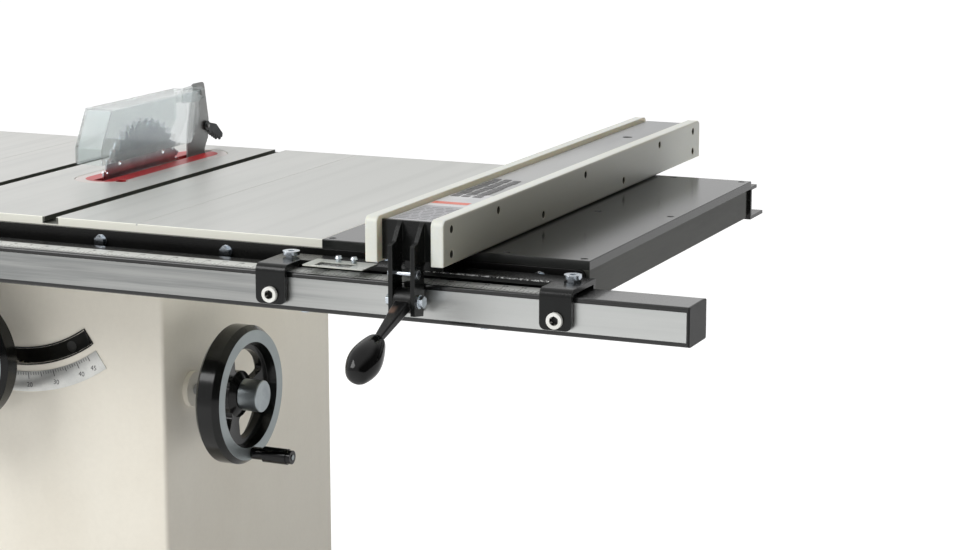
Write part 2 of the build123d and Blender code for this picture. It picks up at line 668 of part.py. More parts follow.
with BuildPart() as table_bolts:
    for side in (-1, 1):
        for bolt_y in TABLE_BOLT_SPOTS:
            seam = side * HALF_WIDTH
            rod((seam - side * RIM, bolt_y, TABLE_BOLT_Z), (seam + side * RIM, bolt_y, TABLE_BOLT_Z), 5.0)
            hexagon_rod(
                (seam + side * RIM, bolt_y, TABLE_BOLT_Z),
                (seam + side * (RIM + 7), bolt_y, TABLE_BOLT_Z),
                16,
            )
    for bolt_x in RAIL_BOLT_SPOTS:
        rod((bolt_x, LEG_FRONT, RAIL_BOLT_Z), (bolt_x, -HALF_DEPTH + RIM, RAIL_BOLT_Z), 4.0)
        rod((bolt_x, LEG_FRONT - 1.6, RAIL_BOLT_Z), (bolt_x, LEG_FRONT, RAIL_BOLT_Z), 9.5)
        hexagon_rod(
            (bolt_x, LEG_FRONT - 7.5, RAIL_BOLT_Z), (bolt_x, LEG_FRONT - 1.6, RAIL_BOLT_Z), 14
        )
    for bolt_x in TUBE_BOLT_SPOTS:
        rod((bolt_x, TUBE_BOLT_Y, ANGLE_BOTTOM), (bolt_x, TUBE_BOLT_Y, RAIL_BOTTOM + RAIL_WALL), 4.0)
        hexagon_rod((bolt_x, TUBE_BOLT_Y, ANGLE_BOTTOM - 6), (bolt_x, TUBE_BOLT_Y, ANGLE_BOTTOM), 13)
    web_back = HALF_DEPTH + REAR_RAIL_THICK
    for bolt_x in REAR_BOLT_SPOTS:
        rod((bolt_x, web_back, 828), (bolt_x, web_back + 1.6, 828), 9)
        hexagon_rod((bolt_x, web_back + 1.6, 828), (bolt_x, web_back + 7.5, 828), 14)
table_bolts.part.label = "table_bolts"
export_step(table_bolts.part, "parts/table_bolts.step")

# ---------------------------------------------------------------- rip fence

with BuildPart() as fence_carriage:
    block(
        (CARRIAGE_LEFT, CARRIAGE_EDGE, CARRIAGE_BOTTOM), (CARRIAGE_RIGHT, CARRIAGE_BACK, CARRIAGE_TOP)
    )
    block(
        (CARRIAGE_LEFT, CARRIAGE_BACK - CARRIAGE_THICK, TAB_BOTTOM),
        (CARRIAGE_RIGHT, CARRIAGE_BACK, CARRIAGE_TOP),
    )
    for tab_x in TAB_CENTRES:
        with BuildSketch(at_side(tab_x - TAB_WIDTH / 2)) as bend:
            with BuildLine():
                Polyline(
                    (CARRIAGE_EDGE, CARRIAGE_TOP),
                    (TAB_FRONT, CARRIAGE_TOP),
                    (TAB_FRONT, TAB_BOTTOM),
                    (TAB_BACK, TAB_BOTTOM),
                    (TAB_BACK, CARRIAGE_BOTTOM),
                    (CARRIAGE_EDGE, CARRIAGE_BOTTOM),
                    close=True,
                )
            make_face()
            fillet(bend.vertices().group_by(Axis.X)[0].sort_by(Axis.Y)[-1], 10)
            fillet(bend.vertices().group_by(Axis.X)[1].sort_by(Axis.Y)[-1], 3.5)
        extrude(bend.sketch, amount=TAB_WIDTH)
        lower_corners = fence_carriage.edges().filter_by(Axis.Y).filter_by(
            lambda e, x=tab_x: abs(e.center().Z - TAB_BOTTOM) < 0.1
            and e.center().Y < TAB_BACK
            and abs(e.center().X - x) < TAB_WIDTH
        )
        fillet(lower_corners, 8)
        rod((tab_x, TAB_FRONT, ADJUSTER_Z), (tab_x, TAB_BACK, ADJUSTER_Z), 8.3, Mode.SUBTRACT)
        rod(
            (tab_x, LEVELLER_Y, CARRIAGE_BOTTOM), (tab_x, LEVELLER_Y, CARRIAGE_TOP), 5.1, Mode.SUBTRACT
        )
    block((694, -405, CARRIAGE_TOP), (748, -372, TUBE_BOTTOM))
    for screw_x in CURSOR_SCREW_SPOTS:
        rod(
            (screw_x, CURSOR_SCREW_Y, CARRIAGE_BOTTOM),
            (screw_x, CURSOR_SCREW_Y, CARRIAGE_TOP),
            2.1,
            Mode.SUBTRACT,
        )
fence_carriage.part.label = "fence_carriage"
export_step(fence_carriage.part, "parts/fence_carriage.step")

with BuildPart() as fence_adjusters:
    for tab_x in TAB_CENTRES:
        strip_face = RAIL_FRONT - STRIP_THICK - 0.1
        rod((tab_x, TAB_FRONT, ADJUSTER_Z), (tab_x, strip_face, ADJUSTER_Z), 8.2)
        rod((tab_x, TAB_FRONT - 5, ADJUSTER_Z), (tab_x, TAB_FRONT, ADJUSTER_Z), 10.5)
        hexagon_rod(
            (tab_x, TAB_FRONT - 5, ADJUSTER_Z), (tab_x, TAB_FRONT + 3, ADJUSTER_Z), 11, Mode.SUBTRACT
        )
fence_adjusters.part.label = "fence_adjusters"
export_step(fence_adjusters.part, "parts/fence_adjusters.step")

with BuildPart() as cursor_plate:
    block((562, -441, CARRIAGE_TOP), (651, -396, CARRIAGE_TOP + CURSOR_THICK))
    fillet(cursor_plate.edges().filter_by(Axis.Z), 2.5)
    block((577, -435, CARRIAGE_TOP), (628, -412, CARRIAGE_TOP + CURSOR_THICK), Mode.SUBTRACT)
    for screw_x in CURSOR_SCREW_SPOTS:
        rod(
            (screw_x, CURSOR_SCREW_Y, CARRIAGE_TOP),
            (screw_x, CURSOR_SCREW_Y, CARRIAGE_TOP + CURSOR_THICK),
            2.4,
            Mode.SUBTRACT,
        )
cursor_plate.part.label = "cursor_plate"
export_step(cursor_plate.part, "parts/cursor_plate.step")

with BuildPart() as carriage_screws:
    for tab_x in TAB_CENTRES:
        rod((tab_x, LEVELLER_Y, RAIL_TOP + 0.6), (tab_x, LEVELLER_Y, CARRIAGE_TOP), 5.0)
        hexagon_rod((tab_x, LEVELLER_Y, CARRIAGE_TOP), (tab_x, LEVELLER_Y, LEVELLER_HEAD_LOW), 15)
        rod((tab_x, LEVELLER_Y, LEVELLER_HEAD_LOW), (tab_x, LEVELLER_Y, LEVELLER_HEAD_HIGH), 11.5)
        hexagon_rod(
            (tab_x, LEVELLER_Y, LEVELLER_HEAD_HIGH - 3),
            (tab_x, LEVELLER_Y, LEVELLER_HEAD_HIGH),
            8,
            Mode.SUBTRACT,
        )
    cursor_top = CARRIAGE_TOP + CURSOR_THICK
    for screw_x in CURSOR_SCREW_SPOTS:
        rod((screw_x, CURSOR_SCREW_Y, CARRIAGE_BOTTOM), (screw_x, CURSOR_SCREW_Y, cursor_top), 2.0)
        rod((screw_x, CURSOR_SCREW_Y, cursor_top), (screw_x, CURSOR_SCREW_Y, cursor_top + 4.2), 3.8)
        with Locations((screw_x, CURSOR_SCREW_Y, cursor_top + 4.2)):
            Cone(5.2, 3.4, 3.2, align=(Align.CENTER, Align.CENTER, Align.MIN))
carriage_screws.part.label = "carriage_screws"
export_step(carriage_screws.part, "parts/carriage_screws.step")

with BuildPart() as fence_tube:
    tube_front = BOARD_FRONT + 20
    with BuildSketch(at_depth(BOARD_REAR - 3)):
        with Locations((FENCE_X, (TUBE_TOP + TUBE_BOTTOM) / 2)):
            RectangleRounded(BOARD_GAP, TUBE_TOP - TUBE_BOTTOM, 4)
            RectangleRounded(
                BOARD_GAP - 2 * TUBE_WALL, TUBE_TOP - TUBE_BOTTOM - 2 * TUBE_WALL, 2, mode=Mode.SUBTRACT
            )
    extrude(amount=BOARD_REAR - 3 - tube_front)
    rod((FENCE_X, 352, TUBE_TOP - 8), (FENCE_X, 352, TUBE_TOP), 8, Mode.SUBTRACT)
fence_tube.part.label = "fence_tube"
export_step(fence_tube.part, "parts/fence_tube.step")

SCREW_SPOTS = (
    (-440, 911),
    (-440, 879),
    (-289, 911),
    (-131, 879),
    (29, 911),
    (187, 879),
    (346, 911),
    (506, 911),
    (506, 879),
)


def fence_board(inner_x, outward):
    """Add one face board, with its corners rounded and its screw recesses cut."""
    outer_x = inner_x + outward * BOARD_THICK
    block(
        (min(inner_x, outer_x), BOARD_FRONT, BOARD_BOTTOM),
        (max(inner_x, outer_x), BOARD_REAR, BOARD_TOP),
    )


def board_recesses(inner_x, outward):
    """Cut the stepped screw holes through one face board."""
    outer_x = inner_x + outward * BOARD_THICK
    for spot_y, spot_z in SCREW_SPOTS:
        rod((inner_x, spot_y, spot_z), (outer_x, spot_y, spot_z), 2.6, Mode.SUBTRACT)
        rod((outer_x - outward * 7, spot_y, spot_z), (outer_x, spot_y, spot_z), 5.4, Mode.SUBTRACT)


with BuildPart() as fence_face_left:
    fence_board(BOARD_INNER_LEFT, -1)
    fillet(fence_face_left.edges().filter_by(Axis.X).group_by(Axis.Z)[-1], 9)
    fillet(fence_face_left.faces().sort_by(Axis.X)[0].edges(), 2.2)
    board_recesses(BOARD_INNER_LEFT, -1)
fence_face_left.part.label = "fence_face_left"
export_step(fence_face_left.part, "parts/fence_face_left.step")

with BuildPart() as fence_face_right:
    fence_board(BOARD_INNER_RIGHT, 1)
    fillet(fence_face_right.edges().filter_by(Axis.X).group_by(Axis.Z)[-1], 9)
    fillet(fence_face_right.faces().sort_by(Axis.X)[-1].edges(), 2.2)
    board_recesses(BOARD_INNER_RIGHT, 1)
fence_face_right.part.label = "fence_face_right"
export_step(fence_face_right.part, "parts/fence_face_right.step")

with BuildPart() as face_screws:
    for inner_x, outward in ((BOARD_INNER_LEFT, -1), (BOARD_INNER_RIGHT, 1)):
        seat_x = inner_x + outward * (BOARD_THICK - 7)
        for spot_y, spot_z in SCREW_SPOTS:
            rod((inner_x, spot_y, spot_z), (seat_x, spot_y, spot_z), 2.4)
            rod((seat_x, spot_y, spot_z), (seat_x + outward * 3, spot_y, spot_z), 4.9)
face_screws.part.label = "face_screws"
export_step(face_screws.part, "parts/face_screws.step")

with BuildPart() as rear_glide:
    block((700, 290, TABLE_TOP + 0.3), (742, 330, TUBE_BOTTOM))
rear_glide.part.label = "rear_glide"
export_step(rear_glide.part, "parts/rear_glide.step")

with BuildPart() as lock_bracket:
    block(
        (BOARD_INNER_LEFT + 0.3, tube_front - 6, 868),
        (BOARD_INNER_RIGHT - 0.3, tube_front, TUBE_TOP + 1),
    )
    cheek_left = CHEEK_MIDDLE - CHEEK_GAP / 2 - CHEEK_THICK
    cheek_right = CHEEK_MIDDLE + CHEEK_GAP / 2
    for cheek_x in (cheek_left, cheek_right):
        prism(
            at_side(cheek_x),
            (
                (tube_front - 6, TUBE_TOP),
                (-457, 914),
                (-470, 896),
                (BRACKET_FRONT, 893),
                (BRACKET_FRONT, 803),
                (-456, 799),
                (-452, 830),
                (-454.5, 862),
                (tube_front, 869),
                (tube_front - 6, 880),
            ),
            CHEEK_THICK,
        )
    rod(
        (cheek_left, PIVOT_Y, PIVOT_Z),
        (cheek_right + CHEEK_THICK, PIVOT_Y, PIVOT_Z),
        5.05,
        Mode.SUBTRACT,
    )
    rod((cheek_left, PIN_Y, PIN_Z), (cheek_right + CHEEK_THICK, PIN_Y, PIN_Z), 3.05, Mode.SUBTRACT)
lock_bracket.part.label = "lock_bracket"
export_step(lock_bracket.part, "parts/lock_bracket.step")

with BuildPart() as lock_pins:
    bolt_left = cheek_left - 8
    bolt_right = cheek_right + CHEEK_THICK
    rod((bolt_left, PIVOT_Y, PIVOT_Z), (bolt_right, PIVOT_Y, PIVOT_Z), 5.0)
    rod((bolt_right, PIVOT_Y, PIVOT_Z), (bolt_right + 1.6, PIVOT_Y, PIVOT_Z), 9)
    hexagon_rod((bolt_right + 1.6, PIVOT_Y, PIVOT_Z), (bolt_right + 7.5, PIVOT_Y, PIVOT_Z), 14)
    hexagon_rod((cheek_left - 6.5, PIVOT_Y, PIVOT_Z), (cheek_left, PIVOT_Y, PIVOT_Z), 14)
    rod((cheek_left - 2, PIN_Y, PIN_Z), (bolt_right + 2, PIN_Y, PIN_Z), 3.0)
    rod((bolt_right, PIN_Y, PIN_Z), (bolt_right + 2, PIN_Y, PIN_Z), 6)
    rod((cheek_left - 2, PIN_Y, PIN_Z), (cheek_left, PIN_Y, PIN_Z), 6)
lock_pins.part.label = "lock_pins"
export_step(lock_pins.part, "parts/lock_pins.step")

with BuildPart() as cam_shoe:
    block((CHEEK_MIDDLE - 11.5, -449.5, 802), (CHEEK_MIDDLE + 11.5, RAIL_FRONT - STRIP_THICK - 0.1, 840))
cam_shoe.part.label = "cam_shoe"
export_step(cam_shoe.part, "parts/cam_shoe.step")

LEVER_END_X = 725.0
LEVER_ROOT_WIDTH = 22.0
LEVER_ROOT_THICK = 15.0
LEVER_TIP_WIDTH = 10.0
LEVER_TIP_THICK = 9.0
LEVER_END_Y = -552.0
LEVER_END_Z = 786.5
KNOB_END_Y = -616.5
KNOB_END_Z = 751.5

with BuildPart() as lock_lever:
    rod((CHEEK_MIDDLE - 12, PIVOT_Y + 3, PIVOT_Z), (CHEEK_MIDDLE + 12, PIVOT_Y + 3, PIVOT_Z), 16.4)
    lever_start = Vector(CHEEK_MIDDLE, PIVOT_Y - 4, PIVOT_Z - 2)
    lever_end = Vector(LEVER_END_X, LEVER_END_Y, LEVER_END_Z)
    lever_run = lever_end - lever_start
    root_plane = Plane(origin=lever_start, x_dir=(1, 0, 0), z_dir=lever_run)
    tip_plane = Plane(
        origin=lever_end - lever_run.normalized() * 1.5, x_dir=(1, 0, 0), z_dir=lever_run
    )
    with BuildSketch(root_plane) as lever_root:
        RectangleRounded(LEVER_ROOT_WIDTH, LEVER_ROOT_THICK, 3)
    with BuildSketch(tip_plane) as lever_tip:
        RectangleRounded(LEVER_TIP_WIDTH, LEVER_TIP_THICK, 2)
    loft([lever_root.sketch.face(), lever_tip.sketch.face()])
    rod((CHEEK_MIDDLE - 13, PIVOT_Y, PIVOT_Z), (CHEEK_MIDDLE + 13, PIVOT_Y, PIVOT_Z), 5.06, Mode.SUBTRACT)
lock_lever.part.label = "lock_lever"
export_step(lock_lever.part, "parts/lock_lever.step")

with BuildPart() as lock_knob:
    knob_end = Vector(LEVER_END_X, KNOB_END_Y, KNOB_END_Z)
    knob_run = knob_end - lever_end
    knob_length = knob_run.length
    knob_base = Plane(origin=lever_end, x_dir=(1, 0, 0), z_dir=knob_run)
    knob_side = Plane(origin=lever_end, x_dir=(1, 0, 0), z_dir=knob_base.y_dir * -1)
    with BuildSketch(knob_side):
        with BuildLine():
            Line((0, 0), (9.5, 0))
            Spline(
                (9.5, 0),
                (15.0, 0.14 * knob_length),
                (19.8, 0.36 * knob_length),
                (21.6, 0.62 * knob_length),
                (15.8, 0.89 * knob_length),
                (0, knob_length),
                tangents=((1, 1), (-1, 0)),
            )
            Line((0, knob_length), (0, 0))
        make_face()
    revolve(axis=Axis(lever_end, knob_run))
lock_knob.part.label = "lock_knob"
export_step(lock_knob.part, "parts/lock_knob.step")

# ---------------------------------------------------------------- cabinet

DOOR_LOW_Y = -147.0
DOOR_HIGH_Y = 188.0
DOOR_LOW_Z = 395.0
DOOR_HIGH_Z = 765.0
DOOR_BULGE = 107.0
DOOR_MARGIN = 25.0
HINGE_X = -258.0
HINGE_Y = -153.0
DOOR_KNUCKLES = ((480.0, 520.0), (640.0, 680.0))
CABINET_KNUCKLES = ((440.0, 479.8), (520.2, 560.0), (600.0, 639.8), (680.2, 720.0))

with BuildPart() as cabinet:
    block(
        (-CABINET_HALF_WIDTH, CABINET_FRONT, CABINET_BOTTOM),
        (CABINET_HALF_WIDTH, CABINET_REAR, RIM_BOTTOM),
    )
    fillet(cabinet.edges().filter_by(Axis.Z), 6)
    block(
        (-CABINET_HALF_WIDTH + SHEET, CABINET_FRONT + SHEET, CABINET_BOTTOM + SHEET),
        (CABINET_HALF_WIDTH - SHEET, CABINET_REAR - SHEET, RIM_BOTTOM - SHEET),
        Mode.SUBTRACT,
    )
    block(
        (
            -CABINET_HALF_WIDTH + CABINET_FLANGE,
            CABINET_FRONT + CABINET_FLANGE,
            CABINET_BOTTOM,
        ),
        (CABINET_HALF_WIDTH - CABINET_FLANGE, CABINET_REAR - CABINET_FLANGE, RIM_BOTTOM),
        Mode.SUBTRACT,
    )
    block(
        (SPLITTER_GAP_LEFT, CABINET_REAR - CABINET_FLANGE, SPLITTER_GAP_BOTTOM),
        (SPLITTER_GAP_RIGHT, CABINET_REAR, RIM_BOTTOM),
        Mode.SUBTRACT,
    )
    block(
        (
            -CABINET_HALF_WIDTH + CABINET_FLANGE,
            CABINET_REAR - CABINET_FLANGE,
            RIM_BOTTOM - SHEET,
        ),
        (CABINET_HALF_WIDTH - CABINET_FLANGE, CABINET_REAR - SHEET, RIM_BOTTOM),
        Mode.SUBTRACT,
    )
    block(
        (-CABINET_HALF_WIDTH, DOOR_LOW_Y + DOOR_MARGIN, DOOR_LOW_Z + DOOR_MARGIN),
        (
            -CABINET_HALF_WIDTH + SHEET,
            DOOR_HIGH_Y - DOOR_MARGIN,
            DOOR_HIGH_Z - DOOR_MARGIN,
        ),
        Mode.SUBTRACT,
    )
    shaft_angle = math.degrees(math.asin(HEIGHT_SHAFT_X / HEIGHT_SHAFT_RADIUS_FROM_TILT))
    ring_sector(
        at_depth(CABINET_FRONT + SHEET),
        (0, TABLE_TOP),
        HEIGHT_SHAFT_RADIUS_FROM_TILT - SHAFT_RADIUS - 3,
        HEIGHT_SHAFT_RADIUS_FROM_TILT + SHAFT_RADIUS + 3,
        shaft_angle - 4,
        shaft_angle + TILT_SWEEP + 4,
        SHEET,
        Mode.SUBTRACT,
    )
    wall_inside = CABINET_HALF_WIDTH - SHEET
    rod(
        (wall_inside, TILT_SHAFT_Y, TILT_SHAFT_Z),
        (CABINET_HALF_WIDTH, TILT_SHAFT_Y, TILT_SHAFT_Z),
        SHAFT_RADIUS + 2,
        Mode.SUBTRACT,
    )
    rod(
        (DUST_PORT_X, CABINET_REAR - SHEET, DUST_PORT_Z),
        (DUST_PORT_X, CABINET_REAR + SHEET, DUST_PORT_Z),
        DUST_PORT_RADIUS + 14,
    )
    rod(
        (DUST_PORT_X, CABINET_REAR, DUST_PORT_Z),
        (DUST_PORT_X, CABINET_REAR + DUST_PORT_LENGTH, DUST_PORT_Z),
        DUST_PORT_RADIUS,
    )
    rod(
        (DUST_PORT_X, CABINET_REAR - SHEET, DUST_PORT_Z),
        (DUST_PORT_X, CABINET_REAR + DUST_PORT_LENGTH, DUST_PORT_Z),
        DUST_PORT_RADIUS - SHEET,
        Mode.SUBTRACT,
    )
    for bearing_x in (-70, 70):
        block(
            (bearing_x - 6, CABINET_FRONT + SHEET, TILT_SHAFT_Z - 14),
            (bearing_x + 6, TILT_SHAFT_Y + 12, TILT_SHAFT_Z + 12),
        )
        rod(
            (bearing_x - 6, TILT_SHAFT_Y, TILT_SHAFT_Z),
            (bearing_x + 6, TILT_SHAFT_Y, TILT_SHAFT_Z),
            SHAFT_RADIUS + RUNNING_GAP,
            Mode.SUBTRACT,
        )
    rod(
        (CABINET_HALF_WIDTH, TILT_SHAFT_Y, TILT_SHAFT_Z),
        (CABINET_HALF_WIDTH + 8, TILT_SHAFT_Y, TILT_SHAFT_Z),
        26,
    )
    rod(
        (CABINET_HALF_WIDTH, TILT_SHAFT_Y, TILT_SHAFT_Z),
        (CABINET_HALF_WIDTH + 8, TILT_SHAFT_Y, TILT_SHAFT_Z),
        SHAFT_RADIUS + RUNNING_GAP,
        Mode.SUBTRACT,
    )
    for low_z, high_z in CABINET_KNUCKLES:
        block((HINGE_X, HINGE_Y - 8, low_z), (-CABINET_HALF_WIDTH, HINGE_Y, high_z))
        rod((HINGE_X, HINGE_Y, low_z), (HINGE_X, HINGE_Y, high_z), 5)
    for low_z, high_z in DOOR_KNUCKLES:
        rod((HINGE_X, HINGE_Y, low_z - 5), (HINGE_X, HINGE_Y, high_z + 5), 2.5)
cabinet.part.label = "cabinet"
export_step(cabinet.part, "parts/cabinet.step")

with BuildPart() as cabinet_base:
    base_x = CABINET_HALF_WIDTH - BASE_INSET
    base_front = CABINET_FRONT + BASE_INSET
    base_rear = CABINET_REAR - BASE_INSET
    block((-base_x, base_front, 0), (base_x, base_rear, CABINET_BOTTOM))
    fillet(cabinet_base.edges().filter_by(Axis.Z), 6)
    block(
        (-base_x + SHEET, base_front + SHEET, 6),
        (base_x - SHEET, base_rear - SHEET, CABINET_BOTTOM - SHEET),
        Mode.SUBTRACT,
    )
    block(
        (-base_x + BASE_FOOT, base_front + BASE_FOOT, 0),
        (base_x - BASE_FOOT, base_rear - BASE_FOOT, 6),
        Mode.SUBTRACT,
    )
    block(
        (-base_x + 20, base_front + 20, CABINET_BOTTOM - SHEET),
        (base_x - 20, base_rear - 20, CABINET_BOTTOM),
        Mode.SUBTRACT,
    )
    for hole_x in (-BOLT_DOWN_X, BOLT_DOWN_X):
        for hole_y in (-BOLT_DOWN_Y, BOLT_DOWN_Y):
            rod((hole_x, hole_y, 0), (hole_x, hole_y, 6), BOLT_DOWN_RADIUS, Mode.SUBTRACT)
cabinet_base.part.label = "cabinet_base"
export_step(cabinet_base.part, "parts/cabinet_base.step")

with BuildPart() as motor_door:
    plate_x = -CABINET_HALF_WIDTH - SHEET
    block(
        (plate_x - DOOR_BULGE, DOOR_LOW_Y + DOOR_MARGIN, DOOR_LOW_Z + DOOR_MARGIN),
        (-CABINET_HALF_WIDTH, DOOR_HIGH_Y - DOOR_MARGIN, DOOR_HIGH_Z - DOOR_MARGIN),
    )
    fillet(motor_door.faces().sort_by(Axis.X)[0].edges(), 18)
    block((plate_x, DOOR_LOW_Y, DOOR_LOW_Z), (-CABINET_HALF_WIDTH, DOOR_HIGH_Y, DOOR_HIGH_Z))
    block(
        (
            plate_x - DOOR_BULGE + SHEET,
            DOOR_LOW_Y + DOOR_MARGIN + SHEET,
            DOOR_LOW_Z + DOOR_MARGIN + SHEET,
        ),
        (
            -CABINET_HALF_WIDTH,
            DOOR_HIGH_Y - DOOR_MARGIN - SHEET,
            DOOR_HIGH_Z - DOOR_MARGIN - SHEET,
        ),
        Mode.SUBTRACT,
    )
    for louver in range(6):
        louver_z = DOOR_LOW_Z + 110 + louver * 30
        block(
            (plate_x - DOOR_BULGE, DOOR_LOW_Y + 70, louver_z),
            (plate_x - DOOR_BULGE + SHEET, DOOR_HIGH_Y - 70, louver_z + 10),
            Mode.SUBTRACT,
        )
    for low_z, high_z in DOOR_KNUCKLES:
        block((HINGE_X, HINGE_Y, low_z), (plate_x, DOOR_LOW_Y + 4, high_z))
        rod((HINGE_X, HINGE_Y, low_z), (HINGE_X, HINGE_Y, high_z), 5)
        rod((HINGE_X, HINGE_Y, low_z), (HINGE_X, HINGE_Y, high_z), 2.56, Mode.SUBTRACT)
    rod((plate_x - 14, DOOR_HIGH_Y - 12, 580), (plate_x, DOOR_HIGH_Y - 12, 580), 9)
motor_door.part.label = "motor_door"
export_step(motor_door.part, "parts/motor_door.step")

SWITCH_LEFT = -345.0
SWITCH_RIGHT = -255.0
SWITCH_FRONT = -432.0
SWITCH_BACK = -370.0
SWITCH_TOP = 773.0
SWITCH_BOTTOM = 655.0
PADDLE_HINGE_Y = -440.0
PADDLE_HINGE_Z = 716.0
BUTTON_Z = 748.0

with BuildPart() as switch_box:
    block((SWITCH_LEFT, SWITCH_FRONT, SWITCH_BOTTOM), (SWITCH_RIGHT, SWITCH_BACK, SWITCH_TOP))
    fillet(switch_box.edges(), 5)
    block((-330, -415, SWITCH_TOP - 2), (-270, -350, ANGLE_BOTTOM))
    rod((-300, SWITCH_FRONT, BUTTON_Z), (-300, SWITCH_FRONT + 14, BUTTON_Z), 11.2, Mode.SUBTRACT)
    for lug_x in (SWITCH_LEFT + 3, SWITCH_RIGHT - 7):
        block(
            (lug_x, PADDLE_HINGE_Y - 4, PADDLE_HINGE_Z - 5),
            (lug_x + 4, SWITCH_FRONT + 2, PADDLE_HINGE_Z + 5),
        )
    rod(
        (SWITCH_LEFT + 5, PADDLE_HINGE_Y, PADDLE_HINGE_Z),
        (SWITCH_RIGHT - 5, PADDLE_HINGE_Y, PADDLE_HINGE_Z),
        2,
    )
switch_box.part.label = "switch_box"
export_step(switch_box.part, "parts/switch_box.step")

with BuildPart() as start_button:
    rod((-300, SWITCH_FRONT - 6, BUTTON_Z), (-300, SWITCH_FRONT + 9, BUTTON_Z), 11)
    fillet(start_button.edges().sort_by(Axis.Y)[0], 2)
start_button.part.label = "start_button"
export_step(start_button.part, "parts/start_button.step")

with BuildPart() as stop_paddle:
    block(
        (SWITCH_LEFT + 8, PADDLE_HINGE_Y - 5, SWITCH_BOTTOM + 4),
        (SWITCH_RIGHT - 8, PADDLE_HINGE_Y + 1, PADDLE_HINGE_Z + 5),
    )
    fillet(stop_paddle.edges().filter_by(Axis.X), 2)
    rod(
        (SWITCH_LEFT + 8, PADDLE_HINGE_Y, PADDLE_HINGE_Z),
        (SWITCH_RIGHT - 8, PADDLE_HINGE_Y, PADDLE_HINGE_Z),
        4,
    )
    rod(
        (SWITCH_LEFT + 8, PADDLE_HINGE_Y, PADDLE_HINGE_Z),
        (SWITCH_RIGHT - 8, PADDLE_HINGE_Y, PADDLE_HINGE_Z),
        2.06,
        Mode.SUBTRACT,
    )
stop_paddle.part.label = "stop_paddle"
export_step(stop_paddle.part, "parts/stop_paddle.step")

# ---------------------------------------------------------------- tilting trunnions

TILT_CENTRE = (0.0, TABLE_TOP)
TIE_BARS = ((-172.0, 790.0), (55.0, 643.0))
FRONT_BRACKET_FRONT = FRONT_TRUNNION_Y - 2 - BRACKET_THICK
REAR_BRACKET_FRONT = REAR_TRUNNION_Y + TRUNNION_THICK + 2

with BuildPart() as trunnion_brackets:
    for front_y in (FRONT_BRACKET_FRONT, REAR_BRACKET_FRONT):
        back_y = front_y + BRACKET_THICK
        ring_sector(
            at_depth(back_y), TILT_CENTRE, BRACKET_INNER, BRACKET_OUTER, -72, 72, BRACKET_THICK
        )
        for post_x in (-SLOT_X, SLOT_X):
            block((post_x - 18, front_y, 812), (post_x + 18, back_y, TABLE_TOP - SLOT_PAD_DEPTH))
    for groove_back in (FRONT_TRUNNION_Y - 2, REAR_BRACKET_FRONT + TONGUE_DEPTH - 1):
        ring_sector(
            at_depth(groove_back),
            TILT_CENTRE,
            TONGUE_INNER - 0.1,
            TONGUE_OUTER + 0.1,
            -72,
            72,
            TONGUE_DEPTH - 1,
            Mode.SUBTRACT,
        )
trunnion_brackets.part.label = "trunnion_brackets"
export_step(trunnion_brackets.part, "parts/trunnion_brackets.step")

with BuildPart() as front_trunnion:
    plate_back = FRONT_TRUNNION_Y + TRUNNION_THICK
    ring_sector(
        at_depth(plate_back),
        TILT_CENTRE,
        TRUNNION_INNER,
        TILT_ROOT,
        TRUNNION_LEFT_ANGLE,
        TRUNNION_RIGHT_ANGLE,
        TRUNNION_THICK,
    )
    ring_sector(
        at_depth(FRONT_TRUNNION_Y), TILT_CENTRE, TONGUE_INNER, TONGUE_OUTER, -24, 24, TONGUE_DEPTH
    )
    sector_teeth(
        at_depth(TILT_SHAFT_Y + 5),
        TILT_CENTRE,
        TILT_ROOT,
        TILT_TIP,
        360 / TILT_TEETH_PER_TURN,
        -55,
        11,
        10,
    )
    rod(
        (HEIGHT_SHAFT_X, FRONT_TRUNNION_Y, HEIGHT_SHAFT_Z),
        (HEIGHT_SHAFT_X, -166, HEIGHT_SHAFT_Z),
        17,
    )
    rod(
        (HEIGHT_SHAFT_X, FRONT_TRUNNION_Y, HEIGHT_SHAFT_Z),
        (HEIGHT_SHAFT_X, -166, HEIGHT_SHAFT_Z),
        SHAFT_RADIUS + RUNNING_GAP,
        Mode.SUBTRACT,
    )
    for bar_x, bar_z in TIE_BARS:
        rod((bar_x, FRONT_TRUNNION_Y, bar_z), (bar_x, plate_back, bar_z), 8.02, Mode.SUBTRACT)
front_trunnion.part.label = "front_trunnion"
export_step(front_trunnion.part, "parts/front_trunnion.step")

with BuildPart() as rear_trunnion:
    plate_back = REAR_TRUNNION_Y + TRUNNION_THICK
    ring_sector(
        at_depth(plate_back),
        TILT_CENTRE,
        TRUNNION_INNER,
        TILT_ROOT,
        TRUNNION_LEFT_ANGLE,
        TRUNNION_RIGHT_ANGLE,
        TRUNNION_THICK,
    )
    ring_sector(
        at_depth(plate_back + TONGUE_DEPTH),
        TILT_CENTRE,
        TONGUE_INNER,
        TONGUE_OUTER,
        -24,
        22,
        TONGUE_DEPTH,
    )
    block(
        (-8, REAR_TRUNNION_Y, TABLE_TOP - 226), (8, plate_back + TONGUE_DEPTH, TABLE_TOP), Mode.SUBTRACT
    )
    for bar_x, bar_z in TIE_BARS:
        rod((bar_x, REAR_TRUNNION_Y, bar_z), (bar_x, plate_back, bar_z), 8.02, Mode.SUBTRACT)
rear_trunnion.part.label = "rear_trunnion"
export_step(rear_trunnion.part, "parts/rear_trunnion.step")

